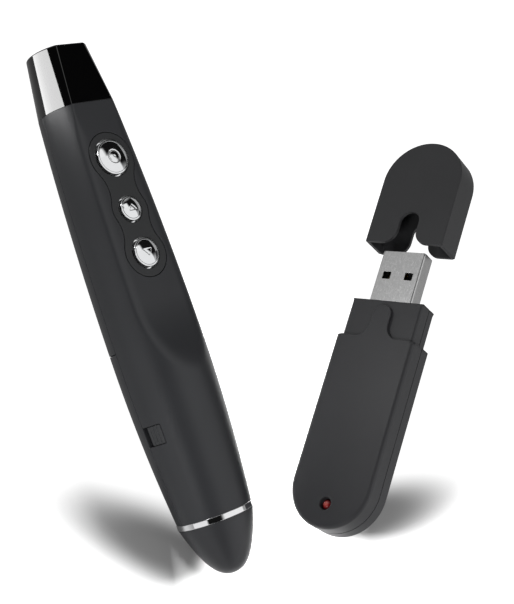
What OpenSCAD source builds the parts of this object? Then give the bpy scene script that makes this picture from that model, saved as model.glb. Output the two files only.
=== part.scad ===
// Wireless presentation clicker: a pen-shaped handset with three round
// buttons, and its USB receiver with the cap pulled off and lying in line.
// The handset lies on its back, rolled a little to one side. The receiver
// lies on one long edge beside it. Both rest on the plane Z = 0.

/* [Handset barrel] */
// Overall length of the handset, tip to end cap
pen_len = 125.9; // [122:0.1:132]
// Length of the pointed nose
nose_len = 13.0; // [11:0.1:15]
// Power of the nose curve, a lower value is blunter
nose_pow = 0.42; // [0.4:0.01:0.6]
// Width of the bright ring behind the nose
ring_w = 1.3; // [1:0.1:2]
// How far the bright ring stands proud of the barrel
ring_proud = 0.1; // [0.05:0.05:0.2]
// Length of the glossy end cap
end_cap_len = 14.4; // [12:0.1:17]
// Largest radius of the barrel
belly_r = 10.95; // [9.9:0.05:11]
// Distance of the widest place from the tip
belly_y = 52.5; // [50:0.1:65]
// Barrel radius at the bright ring
ring_r = 9; // [8.3:0.05:9]
// Barrel radius at the end cap's seam
seam_r = 9; // [8.4:0.05:9]
// End cap radius at its top
top_r = 7.15; // [6.8:0.05:7.8]
// Wall thickness of the handset shells
wall = 1.6; // [1.3:0.05:1.8]
// Height of the parting plane over the barrel's axis
part_z = -1.0; // [-1.5:0.1:-0.5]
// Gap at a seam between two shells
seam_gap = 0.06; // [0.02:0.01:0.12]

/* [Front facet] */
// Height of the flat front face over the axis at the end cap's seam
facet_z = 6.9; // [6.4:0.05:7.1]
// Tilt of the flat front face to the axis, in degrees
facet_tilt = 0.97; // [0:0.01:1.5]
// Tilt of the end cap's flat front face, in degrees
cap_tilt = 3.4; // [2:0.1:5]
// Distance from the tip where the flat face starts to run out
scoop_y = 64; // [60:0.5:68]
// Radius of the run-out
scoop_r = 40; // [30:1:60]

/* [Buttons] */
// Radius of the laser button
laser_btn_r = 4.1; // [3.6:0.05:4.4]
// Radius of the page up button
up_btn_r = 2.8; // [2.4:0.05:3.2]
// Radius of the page down button
down_btn_r = 3.35; // [3:0.05:3.8]
// Distance of the laser button from the end cap's seam
laser_btn_d = 13.6; // [13:0.1:15]
// Distance of the page up button from the end cap's seam
up_btn_d = 26; // [25:0.1:27]
// Distance of the page down button from the end cap's seam
down_btn_d = 36.5; // [36:0.1:38]
// Gap round each button
btn_gap = 0.4; // [0.3:0.05:0.5]
// Height of the button rim over the flat face
btn_proud = 0.25; // [0.1:0.05:0.4]
// Height of the button dome over its rim
btn_dome = 0.75; // [0.4:0.05:1]
// Button travel
btn_travel = 0.4; // [0.2:0.05:0.5]
// Width of the flange that holds a button in, past its rim
btn_flange = 0.9; // [0.7:0.05:1.1]
// Thickness of the button flange
flange_t = 0.6; // [0.5:0.05:0.8]
// Radius of the button panel round the laser button
lobe_top = 6.0; // [5.8:0.1:6.3]
// Radius of the button panel round the page up button
lobe_mid = 4.9; // [4.6:0.1:5.2]
// Radius of the button panel round the page down button
lobe_low = 5.6; // [5.5:0.1:6]
// Radius of the hollow curves between the lobes
lobe_fillet = 8; // [7:0.5:9]
// Thickness of the button panel
panel_t = 0.9; // [0.7:0.05:1]
// Width of the groove round the button panel
panel_gap = 0.14; // [0.1:0.02:0.2]

/* [Slide switch] */
// Distance of the switch from the tip
sw_y = 35.5; // [33:0.1:38]
// Angle of the switch from the front, round the barrel
sw_ang = 80; // [78:0.5:82]
// Width of the switch window along the barrel
sw_w = 4.6; // [4.2:0.1:5]
// Length of the switch window round the barrel
sw_l = 5.4; // [5.2:0.1:5.8]
// Gap round the knob
sw_gap = 0.12; // [0.08:0.02:0.2]
// Travel of the knob
sw_travel = 1.0; // [0.6:0.1:1.1]
// Gap left behind the knob when it is pushed to the back
sw_end = 0.45; // [0.4:0.05:0.6]
// Depth of the grip grooves in the knob
sw_groove = 0.18; // [0.1:0.02:0.3]

/* [Battery bay] */
// Length of the battery door past the bay's far wall
door_past = 3.9; // [3:0.1:5]
// Radius of the battery
cell_r = 5.15; // [5:0.05:5.25]
// Length of the battery with its button end
cell_l = 28.5; // [28:0.1:29]
// Height of the battery's axis over the barrel's axis
cell_z = -1.6; // [-1.9:0.1:-1.4]
// Distance of the battery's flat end from the tip
cell_y = 21.5; // [20.5:0.1:22]
// Radius of the battery's button end
cell_nub_r = 1.9; // [1.5:0.1:2.2]
// Height of the battery's button end
cell_nub_h = 1.2; // [1:0.1:1.4]
// Thickness of the contact plates
contact_t = 0.4; // [0.3:0.05:0.5]
// Thickness of the bay's walls
bay_wall = 1.2; // [1:0.1:1.4]
// Wire thickness of the battery spring
wire_d = 0.5; // [0.4:0.05:0.6]
// Number of turns of the battery spring
spring_turns = 4; // [3:1:5]

/* [Inner parts] */
// Thickness of the handset's circuit board
board_t = 1.0; // [0.8:0.1:1.2]
// Width of the handset's circuit board
board_w = 12.4; // [11:0.1:12.6]
// Depth of the board's top under the flat face
board_d = 6.0; // [5.9:0.05:6.2]
// Distance of the board's upper end from the end cap's seam
board_y = 7.5; // [7:0.1:8]
// Length of the handset's circuit board
board_l = 43; // [42:0.5:44]
// Width of a tact switch
tact_w = 4.4; // [4:0.1:4.8]
// Height of a tact switch's case
tact_h = 2.0; // [1.8:0.05:2.1]
// Radius of a tact switch's plunger
tact_r = 1.1; // [0.9:0.05:1.3]
// Height of a tact switch's plunger
plunger_h = 0.7; // [0.5:0.05:0.8]
// Radius of the laser module
laser_r = 2.8; // [2.6:0.05:2.9]
// Length of the laser module
laser_l = 14; // [12:0.5:14.5]
// Height of the laser's axis over the barrel's axis
laser_z = -2.0; // [-2.3:0.1:-1.8]
// Radius of the laser's opening in the end cap
beam_r = 1.6; // [1.2:0.1:2]
// Slack round the laser module in its sleeve
laser_fit = 0.05; // [0.02:0.01:0.1]
// Width of the radio chip
radio_w = 7; // [6:0.5:8]
// Length of the radio chip
radio_l = 9; // [8:0.5:10]
// Height of the radio chip
radio_h = 1.2; // [1:0.1:1.4]
// Distance of the radio chip from the board's lower end
radio_y = 4; // [3:0.5:5]
// Width of the crystal
crystal_w = 4; // [3:0.5:5]
// Length of the crystal
crystal_l = 8; // [7:0.5:9]
// Height of the crystal
crystal_h = 1.6; // [1.4:0.1:1.8]
// Distance of the crystal from the radio chip
crystal_gap = 3; // [2:0.5:4]

/* [Receiver] */
// Width of the receiver
rx_w = 22; // [21.4:0.1:23]
// Thickness of the receiver
rx_t = 8.54; // [8.3:0.02:9]
// Length of the receiver without its plug
rx_l = 58.6; // [56:0.1:62]
// Radius of the front edges
rx_front_round = 1.4; // [1:0.1:1.8]
// Radius of the back edges
rx_back_round = 0.8; // [0.5:0.1:1.2]
// Length of the neck that the cap covers
neck_l = 10.1; // [9:0.1:11]
// Wall thickness of the cap, and so the step at the neck
cap_wall = 1.0; // [0.8:0.05:1.1]
// Slack of the cap on the neck, on each side
cap_fit = 0.08; // [0.05:0.01:0.15]
// Wall thickness of the receiver's shells
rx_wall = 1.0; // [0.8:0.05:1.1]
// Height of the receiver's seam over its middle
rx_seam = -0.4; // [-0.8:0.1:0.4]
// Radius of the lamp lens
lens_r = 1.45; // [1.2:0.05:1.7]
// Distance of the lamp from the round end
lens_d = 5.95; // [5.5:0.05:6.5]

/* [USB plug] */
// Width of the plug
plug_w = 12; // [11.9:0.05:12.1]
// Thickness of the plug
plug_t = 4.5; // [4.4:0.05:4.6]
// Length of the plug outside the receiver
plug_l = 13.86; // [13.2:0.02:14.2]
// Length of the plug inside the receiver
plug_in = 5; // [4:0.1:6]
// Sheet thickness of the plug
plug_sheet = 0.32; // [0.28:0.02:0.36]
// Thickness of the plug's insulating tongue
tongue_t = 1.84; // [1.7:0.02:1.9]
// Width of the square holes in the plug
hole_w = 2.2; // [2:0.1:2.5]
// Length of the square holes in the plug
hole_l = 1.96; // [1.8:0.02:2.2]
// Distance of the square holes from the plug's tip
hole_y = 5.66; // [5.2:0.02:6]
// Distance of the square holes from the middle line
hole_x = 2.02; // [1.9:0.02:2.2]
// Distance between the plug's two middle contacts
pin_pitch = 2.0; // [1.9:0.05:2.1]
// Distance of an outer contact from the middle line
pin_out = 3.5; // [3.3:0.05:3.6]
// Width of a contact
pin_w = 1.0; // [0.9:0.05:1.1]
// Height of a contact over the tongue
pin_h = 0.12; // [0.08:0.02:0.16]

/* [Receiver cap] */
// Length of the cap
cap_l = 28.5; // [27.5:0.1:30]
// How far the cap is pulled off the receiver
cap_off = 25.5; // [25:0.1:28]
// Depth of the hollow in the cap's middle
cap_depth = 24.4; // [22:0.1:26]
// Half width of the notch in the cap's edge
notch_r = 2.67; // [2.4:0.05:3]
// Depth of the notch in the cap's edge
notch_d = 8.7; // [8:0.1:9]
// Radius of the flares at the notch's mouth
flare_r = 3.6; // [3:0.1:4]
// Radius of the cap's front edges
cap_round = 0.35; // [0.3:0.05:0.8]

/* [Lie] */
// Turn of the handset in the plane, in degrees
pen_yaw = 39.65; // [38:0.05:41]
// Roll of the handset about its axis, in degrees
pen_roll = 19.05; // [18:0.05:20]
// Roll of the receiver about its axis, in degrees
rx_roll = 55.8; // [54:0.1:57]
// Place of the handset's tip, across
tip_x = 28.7; // [20:0.1:40]
// Place of the handset's tip, along
tip_y = -58.5; // [-70:0.1:-50]
// Place of the receiver's neck from the handset's tip, across
rx_dx = 19.0; // [18:0.1:22]
// Place of the receiver's neck from the handset's tip, along
rx_dy = 74.3; // [72:0.1:78]

/* [Hidden] */
$fn = 96;

seam_y = pen_len - end_cap_len;       // end cap's seam
body_y = nose_len + ring_w;           // start of the shells
door_y = cell_y + cell_l + contact_t + bay_wall + door_past; // door's far end
big = 60;
spring_l = 4;                         // battery spring, pressed
steps = 22;                           // rings along the barrel

// ---- handset: curves ----
function sq(v) = v * v;
function barrel_r(y) = y < belly_y
  ? belly_r - (belly_r - ring_r) * sq((belly_y - y) / (belly_y - body_y))
  : belly_r - (belly_r - seam_r) * sq((y - belly_y) / (seam_y - belly_y));
function nose_r(y) = ring_r * pow(y / nose_len, nose_pow);
function cap_r(y) = seam_r + (top_r - seam_r) * (y - seam_y) / end_cap_len;
function mix(a, b, t) = a + (b - a) * t;

// Solid of revolution about Y with the barrel's curve, drawn in by d.
module barrel(d, y0, y1) {
  rotate([-90, 0, 0]) rotate_extrude()
    polygon(concat([[0, y0]],
      [for (i = [0 : steps]) let (y = mix(y0, y1, i / steps))
        [barrel_r(min(max(y, body_y), seam_y)) - d, y]],
      [[0, y1]]));
}

// Side view of what is under the front face and its run-out, drawn in by d.
// x of the sketch is along the barrel, y is towards the front.
function facet_at(y) = facet_z + (seam_y - y) * tan(facet_tilt);
module under_face(d) {
  cy = scoop_y + scoop_r * sin(facet_tilt);
  cz = facet_at(scoop_y) + scoop_r * cos(facet_tilt);
  difference() {
    translate([-1, -big / 2]) square([pen_len + 2, big]);
    polygon([[scoop_y - 0.001, facet_at(scoop_y) - d],
      [pen_len + 3, facet_at(pen_len + 3) - d],
      [pen_len + 3, big], [scoop_y - 0.001, big]]);
    intersection() {
      translate([cy, cz]) circle(scoop_r + d, $fn = 240);
      translate([cy - big, 0]) square([big, big]);
    }
  }
}
module side_extrude(w) {
  rotate([90, 0, 90]) translate([0, 0, -w / 2]) linear_extrude(w) children();
}
module cut_by_face(d) {
  intersection() { children(); side_extrude(big) under_face(d); }
}
// The outer form and the hollow of the barrel between y0 and y1.
module form(y0, y1) { cut_by_face(0) barrel(0, y0, y1); }
module hollow(y0, y1) { cut_by_face(wall) barrel(wall, y0, y1); }
module above(z) { translate([-big / 2, -1, z]) cube([big, pen_len + 2, big]); }
module below(z) { translate([-big / 2, -1, z - big]) cube([big, pen_len + 2, big]); }

// Frame of the flat front face: origin at the end cap's seam.
module on_face() {
  translate([0, seam_y, facet_z]) rotate([-facet_tilt, 0, 0]) children();
}

// ---- handset: buttons and their panel ----
btn_d = [laser_btn_d, up_btn_d, down_btn_d];
btn_r = [laser_btn_r, up_btn_r, down_btn_r];
lobe_r = [lobe_top, lobe_mid, lobe_low];
post_h = board_d - tact_h - plunger_h - wall - flange_t - seam_gap
  - btn_travel - 0.05;                // button's post under its flange

// The scalloped panel, grown by g. Hollow curves join its three lobes.
module waist(i, g) {
  ra = lobe_r[i] + lobe_fillet;
  rb = lobe_r[i + 1] + lobe_fillet;
  d = btn_d[i + 1] - btn_d[i];
  a = (d * d + ra * ra - rb * rb) / (2 * d);
  x = sqrt(ra * ra - a * a);
  y = -btn_d[i] - a;
  // Where the curves meet the lobes, a little inside them
  ta = (lobe_r[i] - 0.3) / ra;
  tb = (lobe_r[i + 1] - 0.3) / rb;
  ya = -btn_d[i] - a * ta;
  yb = -btn_d[i + 1] + (d - a) * tb;
  difference() {
    polygon([[-x * ta, ya], [x * ta, ya], [x * tb, yb], [-x * tb, yb]]);
    for (s = [-1, 1]) translate([s * x, y])
      circle(lobe_fillet - g + 0.03, $fn = 160);
  }
}
module panel_prism(g) {
  translate([0, 0, -panel_t]) {
    for (i = [0 : 2]) translate([0, -btn_d[i], 0])
      cylinder(r = lobe_r[i] + g, h = big, $fn = 120);
    for (i = [0 : 1]) linear_extrude(big) waist(i, g);
  }
}
module button_holes(g) {
  for (i = [0 : 2]) translate([0, -btn_d[i], -big / 2])
    cylinder(r = btn_r[i] + g, h = big);
}
// Domed button: rim, dome, retaining flange and post.
module button(i) {
  r = btn_r[i];
  dome_r = (r * r + btn_dome * btn_dome) / (2 * btn_dome);
  top = -wall - seam_gap;             // flange's upper face
  color("silver") pen() on_face() translate([0, -btn_d[i], 0]) {
    translate([0, 0, top - 0.01]) cylinder(r = r, h = btn_proud - top + 0.01);
    intersection() {
      translate([0, 0, btn_proud - 0.01]) cylinder(r = r, h = btn_dome + 1);
      translate([0, 0, btn_proud + btn_dome - dome_r]) sphere(dome_r, $fn = 160);
    }
    translate([0, 0, top - flange_t]) cylinder(r = r + btn_flange, h = flange_t);
    translate([0, 0, top - flange_t - post_h])
      cylinder(r = tact_r + 0.3, h = post_h + 0.01);
  }
}

// ---- handset: shells ----
// Tongue along the rear shell's edges, from y0 to y1, inside the front shell.
module lip(y0, y1) {
  difference() {
    union() {
      intersection() { barrel(wall + lip_slack, y0, y1); below(part_z + lip_h); }
      intersection() { barrel(wall / 2, y0, y1); below(part_z - seam_gap - 0.1); }
    }
    barrel(wall + lip_slack + lip_t, y0 - 1, y1 + 1);
    below(part_z - lip_h);
  }
}
// The same tongue on the front shell, which reaches down inside the door.
module front_lip(y0, y1) {
  difference() {
    union() {
      intersection() { barrel(wall + lip_slack, y0, y1); above(part_z - lip_h); }
      intersection() { barrel(wall / 2, y0, y1); above(part_z + 0.1); }
    }
    barrel(wall + lip_slack + lip_t, y0 - 1, y1 + 1);
    above(part_z + lip_h);
  }
}
lip_slack = 0.12;
lip_t = 0.8;
lip_h = 1.2;
// Square window round the barrel, open to the seam with the battery door.
module switch_window() {
  at_switch() translate([-sw_l / 2, -sw_w / 2, -wall - 1.5])
    cube([sw_l + 1.5, sw_w, wall + 4]);
}
// Two feet that carry the switch case under the window.
module switch_feet() {
  intersection() {
    at_switch() for (s = [-1, 1])
      translate([-sw_l / 2 + 0.6, s > 0 ? case_w / 2 - 0.9 : -case_w / 2,
          -wall - case_d])
        cube([sw_l - 1.6, 0.9, case_d + wall - 0.4]);
    form(body_y, seam_y);
    above(part_z + 0.05);
  }
}
case_w = sw_w + 3.6;                  // switch case, along the barrel
case_d = 1.7;                         // its depth under the shell
// Frame of the switch: X runs round the barrel to the back, Z points out.
module at_switch() {
  translate([0, sw_y, 0]) rotate([0, -sw_ang, 0])
    translate([0, 0, barrel_r(sw_y)]) rotate([0, 0, 180]) children();
}
module front_shell() {
  color([0.20, 0.20, 0.21]) pen() difference() {
    union() {
      difference() {
        intersection() { form(body_y, seam_y); above(part_z); }
        hollow(body_y - 1, seam_y + 1);
      }
      // Walls at both ends of the battery bay
      for (y = [cell_y - spring_l - contact_t - bay_wall,
                cell_y + cell_l + contact_t])
        bay_plate(y, bay_wall);
      // Ribs that cradle the battery
      for (y = [cell_y + 5, cell_y + cell_l - 8]) difference() {
        bay_plate(y, 1);
        translate([0, y - 1, cell_z]) rotate([-90, 0, 0])
          cylinder(r = cell_r + 0.25, h = 3);
        below(part_z + 0.6);
      }
      switch_feet();
      // Tongues that the battery door closes round
      front_lip(body_y + 2, sw_y - case_w / 2 - 0.6);
      front_lip(sw_y + case_w / 2 + 0.6, door_y - bay_wall - 0.6);
      // Posts that carry the circuit board
      intersection() {
        on_face() for (x = [-1, 1], y = [board_y + 1.6, board_y + board_l - 1.6])
          translate([x * (board_w / 2 - 1.6), -y, -board_d])
            cylinder(r = 1.1, h = board_d - 0.5);
        form(body_y, seam_y);
      }
    }
    switch_window();
    // Pocket for the button panel, with the three button holes
    on_face() panel_prism(panel_gap);
    on_face() button_holes(btn_gap);
  }
}
module bay_plate(y, t) {
  intersection() {
    union() {
      cut_by_face(wall / 2) intersection() {
        barrel(wall / 2, body_y, seam_y);
        above(part_z + lip_h + 0.3);
      }
      cut_by_face(wall / 2)
        barrel(wall + lip_slack + lip_t + 0.3, body_y, seam_y);
    }
    translate([-big / 2, y, part_z - 3.6]) cube([big, t, big]);
  }
}
module rear_shell() {
  color([0.20, 0.20, 0.21]) pen() {
    difference() {
      intersection() { form(door_y, seam_y); below(part_z - seam_gap); }
      hollow(door_y + bay_wall, seam_y + 1);
    }
    lip(door_y + 3, seam_y - 6);
  }
}
module battery_door() {
  color([0.20, 0.20, 0.21]) pen() difference() {
    intersection() {
      form(body_y + seam_gap, door_y - 0.15);
      below(part_z - seam_gap);
    }
    hollow(body_y - 1, door_y - 0.15 - bay_wall);
  }
}
module button_panel() {
  color([0.16, 0.16, 0.17]) pen() difference() {
    intersection() {
      form(body_y, seam_y);
      on_face() panel_prism(0);
    }
    on_face() button_holes(btn_gap);
  }
}

// ---- handset: ends ----
module cap_form(d) {
  intersection() {
    rotate([-90, 0, 0]) translate([0, 0, seam_y])
      cylinder(r1 = seam_r - d, r2 = top_r - d, h = end_cap_len);
    translate([0, seam_y, facet_z - d]) rotate([-cap_tilt, 0, 0])
      translate([-big / 2, -big / 2, -big]) cube([big, big, big]);
  }
}
module end_cap() {
  color([0.02, 0.02, 0.03]) pen() difference() {
    union() {
      difference() {
        cap_form(0);
        intersection() {
          cap_form(wall);
          translate([-big / 2, seam_y - 1, -big / 2])
            cube([big, end_cap_len - wall + 1, big]);
        }
      }
      // Sleeve of the laser module
      translate([0, pen_len - wall - 8, laser_z]) rotate([-90, 0, 0])
        cylinder(r = laser_r + 1.2, h = 8.01);
      // Spigot that plugs into the shells
      difference() {
        cut_by_face(wall + 0.08) barrel(wall + 0.08, seam_y - 2.4, seam_y + 0.01);
        cut_by_face(wall + 1) barrel(wall + 1, seam_y - 3, seam_y + 1);
      }
      // Ledge that joins the spigot to the wall
      difference() {
        cut_by_face(wall + 0.08) barrel(wall + 0.08, seam_y, seam_y + 1);
        cut_by_face(wall + 1) barrel(wall + 1, seam_y - 1, seam_y + 2);
      }
    }
    translate([0, pen_len - wall - 9, laser_z]) rotate([-90, 0, 0])
      cylinder(r = laser_r + laser_fit, h = 9);
    translate([0, pen_len - wall - 1, laser_z]) rotate([-90, 0, 0])
      cylinder(r = beam_r, h = wall + 2);
  }
}
module nose_ring() {
  color([0.85, 0.85, 0.87]) pen() translate([0, nose_len, 0])
    rotate([-90, 0, 0]) difference() {
      cylinder(r = ring_r + ring_proud, h = ring_w);
      translate([0, 0, -1]) cylinder(r = ring_r - wall - 0.1, h = ring_w + 2);
    }
}
module nose() {
  n = 20;
  color([0.20, 0.20, 0.21]) pen() {
    rotate([-90, 0, 0]) rotate_extrude()
      polygon(concat([[0, 0]],
        [for (i = [1 : n]) let (y = nose_len * sq(i / n)) [nose_r(y), y]],
        [[0, nose_len]]));
    translate([0, nose_len - 0.01, 0]) rotate([-90, 0, 0])
      cylinder(r = ring_r - wall - 0.15, h = ring_w + 0.9);
  }
}

// ---- handset: slide switch ----
module switch_knob() {
  g = sw_gap;
  l = sw_l - sw_travel - g - sw_end;
  color([0.13, 0.13, 0.14]) pen() difference() {
    intersection() {
      barrel(0, body_y, seam_y);
      at_switch() union() {
        translate([-sw_l / 2 + g, -sw_w / 2 + g, -wall - 1.2])
          cube([l, sw_w - 2 * g, big / 2]);
        // Flange that keeps the knob in
        translate([-sw_l / 2 + g - 0.2, -sw_w / 2 - 0.6, -wall - 1.6])
          cube([l + 0.2, sw_w + 1.2, 0.7]);
      }
    }
    at_switch() for (k = [-1 : 1])
      translate([-sw_l / 2 + g + l / 2 + k * 1.1 - 0.15, -big / 2, -sw_groove - 0.35])
        cube([0.3, big, 3]);
  }
}
module switch_case() {
  color("gray") pen() at_switch()
    translate([-sw_l / 2 + 0.2, -case_w / 2, -wall - case_d - 1.5])
      cube([sw_l - 0.6, case_w, 1.5]);
}

// ---- handset: electronics and battery ----
module circuit_board() {
  color("darkgreen") pen() on_face()
    translate([-board_w / 2, -board_y - board_l, -board_d - board_t])
      cube([board_w, board_l, board_t]);
}
module tact(i) {
  color("dimgray") pen() on_face() translate([0, -btn_d[i], -board_d]) {
    translate([-tact_w / 2, -tact_w / 2, 0]) cube([tact_w, tact_w, tact_h]);
    cylinder(r = tact_r, h = tact_h + plunger_h);
  }
}
module radio_chip() {
  color([0.1, 0.1, 0.1]) pen() on_face()
    translate([-radio_w / 2, -board_y - board_l + radio_y,
        -board_d - board_t - radio_h])
      cube([radio_w, radio_l, radio_h]);
}
module crystal() {
  color("silver") pen() on_face()
    translate([-crystal_w / 2,
        -board_y - board_l + radio_y + radio_l + crystal_gap,
        -board_d - board_t - crystal_h])
      cube([crystal_w, crystal_l, crystal_h]);
}
module laser_module() {
  color("goldenrod") pen()
    translate([0, pen_len - wall - 1.0 - laser_l, laser_z]) rotate([-90, 0, 0])
      difference() {
        cylinder(r = laser_r, h = laser_l);
        translate([0, 0, laser_l - 1]) cylinder(r = laser_r - 0.7, h = 2);
      }
}
module laser_lens() {
  color([0.6, 0.75, 0.85]) pen()
    translate([0, pen_len - wall - 2.0, laser_z]) rotate([-90, 0, 0])
      cylinder(r = laser_r - 0.75, h = 0.9);
}
module battery() {
  color("orange") pen() translate([0, cell_y, cell_z]) rotate([-90, 0, 0]) {
    cylinder(r = cell_r, h = cell_l - cell_nub_h);
    cylinder(r = cell_nub_r, h = cell_l);
  }
}
module spring_contact() {
  color("silver") pen()
    translate([-3.4, cell_y - spring_l - contact_t, cell_z - 2.2])
      cube([6.8, contact_t, 6.4]);
}
module button_contact() {
  color("silver") pen() translate([-3.4, cell_y + cell_l, cell_z - 2.2])
    cube([6.8, contact_t, 6.4]);
}
// Conical wire spring: one tube of 6 sides swept along a helix.
module battery_spring() {
  n = 20 * spring_turns;
  r0 = 2.9;
  r1 = 1.6;
  function mid(i) = let (t = i / n, a = 360 * spring_turns * t, r = mix(r0, r1, t))
    [r * cos(a), r * sin(a), mix(wire_d / 2, spring_l - wire_d / 2, t)];
  function ringpt(i, k) = let (a = 360 * spring_turns * i / n, c = mid(i),
    b = 60 * k, u = wire_d / 2 * cos(b), v = wire_d / 2 * sin(b))
    [c[0] + u * cos(a), c[1] + u * sin(a), c[2] + v];
  pts = [for (i = [0 : n], k = [0 : 5]) ringpt(i, k)];
  side = [for (i = [0 : n - 1], k = [0 : 5]) let (m = (k + 1) % 6)
    each [[6 * i + k, 6 * i + 6 + k, 6 * i + 6 + m],
          [6 * i + k, 6 * i + 6 + m, 6 * i + m]]];
  ends = [[for (k = [0 : 5]) k], [for (k = [5 : -1 : 0]) 6 * n + k]];
  color("silver") pen() translate([0, cell_y - spring_l, cell_z])
    rotate([-90, 0, 0]) polyhedron(points = pts, faces = concat(side, ends));
}

// ---- receiver ----
// Section across the receiver: x is its width, y its thickness.
module section(w, t, rf, rb) {
  polygon([[-w / 2, -t / 2 + rb], [-w / 2 + rb, -t / 2], [w / 2 - rb, -t / 2],
    [w / 2, -t / 2 + rb], [w / 2, t / 2 - rf], [w / 2 - rf, t / 2],
    [-w / 2 + rf, t / 2], [-w / 2, t / 2 - rf]]);
  for (s = [-1, 1]) {
    translate([s * (w / 2 - rf), t / 2 - rf]) circle(rf, $fn = 48);
    translate([s * (w / 2 - rb), -t / 2 + rb]) circle(rb, $fn = 48);
  }
}
// Straight stretch of that section from y0 to y1.
module run(w, t, rf, rb, y0, y1) {
  translate([0, y1, 0]) rotate([90, 0, 0]) linear_extrude(y1 - y0)
    section(w, t, rf, rb);
}
// Round end of that section about the point y.
module round_end(w, t, rf, rb, y) {
  translate([0, y, 0]) rotate_extrude($fn = 120) intersection() {
    section(w, t, rf, rb);
    translate([0, -t]) square([w, 2 * t]);
  }
}
end_y = -rx_l + rx_w / 2;             // centre of the receiver's round end
module rx_outer() {
  run(rx_w, rx_t, rx_front_round, rx_back_round, end_y, -neck_l);
  round_end(rx_w, rx_t, rx_front_round, rx_back_round, end_y);
}
neck_w = rx_w - 2 * cap_wall;
neck_t = rx_t - 2 * cap_wall;
neck_rf = max(rx_front_round - cap_wall, 0.4) + 0.4;
module rx_neck(d) {
  run(neck_w - 2 * d, neck_t - 2 * d, neck_rf, 0.6, -neck_l - 1, 0);
}
module rx_hollow() {
  w = rx_w - 2 * rx_wall;
  t = rx_t - 2 * rx_wall;
  run(w, t, 0.8, 0.5, end_y, -neck_l - 0.6);
  round_end(w, t, 0.8, 0.5, end_y);
  run(neck_w - 2 * rx_wall, neck_t - 2 * rx_wall, 0.6, 0.4, -neck_l - 2, -rx_wall - 0.2);
}
// Notch in the cap's edge, y up from the edge, drawn in by g.
module notch(g) {
  r = notch_r - g;
  translate([-r, -2]) square([2 * r, notch_d - notch_r + 2]);
  translate([0, notch_d - notch_r]) circle(r, $fn = 64);
  for (s = [-1, 1]) difference() {
    translate([s > 0 ? 0 : -r - flare_r, -0.01 - 2])
      square([r + flare_r, flare_r + 2.01]);
    translate([s * (r + flare_r + g), flare_r]) circle(flare_r + g, $fn = 80);
    translate([s > 0 ? r + flare_r + g : -big - r - flare_r - g, -big / 2])
      square([big, big]);
    translate([-big / 2, -big]) square([big, big]);
  }
}
// Raised tongue on the neck that fills the notch when the cap is on.
module tongue(s) {
  intersection() {
    translate([0, -neck_l, s > 0 ? 0 : -big]) linear_extrude(big)
      notch(cap_fit + 0.04);
    run(rx_w, rx_t, rx_front_round, rx_back_round, -neck_l - 1, 0);
    translate([-neck_w / 2 + 1, -neck_l - 1, -big / 2]) cube([neck_w - 2, neck_l, big]);
  }
}
module rx_form() {
  rx_outer();
  rx_neck(0);
  for (s = [-1, 1]) tongue(s);
}
module plug_slot() {
  translate([-plug_w / 2 - 0.05, -plug_in - 0.1, -plug_t / 2 - 0.05])
    cube([plug_w + 0.1, plug_in + 1, plug_t + 0.1]);
}
lens_y = -rx_l + lens_d;
module receiver_front() {
  color([0.20, 0.20, 0.21]) rx() difference() {
    union() {
      difference() {
        intersection() {
          rx_form();
          translate([-big / 2, -big * 2, rx_seam]) cube([big, big * 3, big]);
        }
        rx_hollow();
      }
      // Tube behind the lamp's hole
      translate([0, lens_y, rx_t / 2 - rx_wall - 1]) cylinder(r = lens_r + 1, h = 1.3);
      // Posts down to the board
      for (x = [-1, 1], y = [-18, -44]) translate([x * 7, y, rx_board_z + rx_board_t])
        cylinder(r = 1.1, h = rx_t / 2 - rx_wall - rx_board_z - rx_board_t + 0.2);
    }
    translate([0, lens_y, 0]) cylinder(r = lens_r + 0.08, h = big);
    plug_slot();
  }
}
rx_board_t = 1.0;
rx_board_z = -1.6;
module receiver_back() {
  color([0.20, 0.20, 0.21]) rx() difference() {
    union() {
      difference() {
        intersection() {
          rx_form();
          translate([-big / 2, -big * 2, -big + rx_seam - seam_gap])
            cube([big, big * 3, big]);
        }
        rx_hollow();
      }
      for (x = [-1, 1], y = [-18, -44])
        translate([x * 7, y, -rx_t / 2 + rx_wall - 0.2])
          cylinder(r = 1.1, h = rx_board_z + rx_t / 2 - rx_wall + 0.2);
    }
    plug_slot();
  }
}
module receiver_board() {
  r = rx_w / 2 - rx_wall - 0.6;
  w = neck_w - 2 * rx_wall - 1.2;
  color("darkgreen") rx() translate([0, 0, rx_board_z])
    linear_extrude(rx_board_t) intersection() {
      translate([-w / 2, lens_y - lens_r - 0.6])
        square([w, -lens_y + lens_r + 0.6 - plug_in - 0.4]);
      union() {
        translate([0, end_y]) circle(r, $fn = 120);
        translate([-r, end_y]) square([2 * r, -end_y]);
      }
    }
}
module receiver_chip() {
  color([0.1, 0.1, 0.1]) rx() translate([-3, -32, rx_board_z + rx_board_t])
    cube([6, 6, 1]);
}
module lamp_lens() {
  // Red dome that sits a little below the face, on its leg to the board
  top = rx_t / 2 - 0.35;
  color([0.5, 0.02, 0.02]) rx() translate([0, lens_y, 0]) {
    translate([0, 0, top - lens_r]) sphere(lens_r - 0.02, $fn = 64);
    translate([0, 0, rx_board_z + rx_board_t])
      cylinder(r = lens_r - 0.02, h = top - lens_r - rx_board_z - rx_board_t);
  }
}
module plug_shell() {
  r = 0.5;
  color("silver") rx() difference() {
    translate([0, plug_l, 0]) rotate([90, 0, 0]) linear_extrude(plug_l + plug_in)
      difference() {
        section(plug_w, plug_t, r, r);
        section(plug_w - 2 * plug_sheet, plug_t - 2 * plug_sheet, 0.2, 0.2);
      }
    for (s = [-1, 1]) translate([s > 0 ? hole_x : -hole_x - hole_w,
        plug_l - hole_y - hole_l, -plug_t]) cube([hole_w, hole_l, 2 * plug_t]);
  }
}
plug_root = 1.5;                      // end of the insulator's full block
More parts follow.
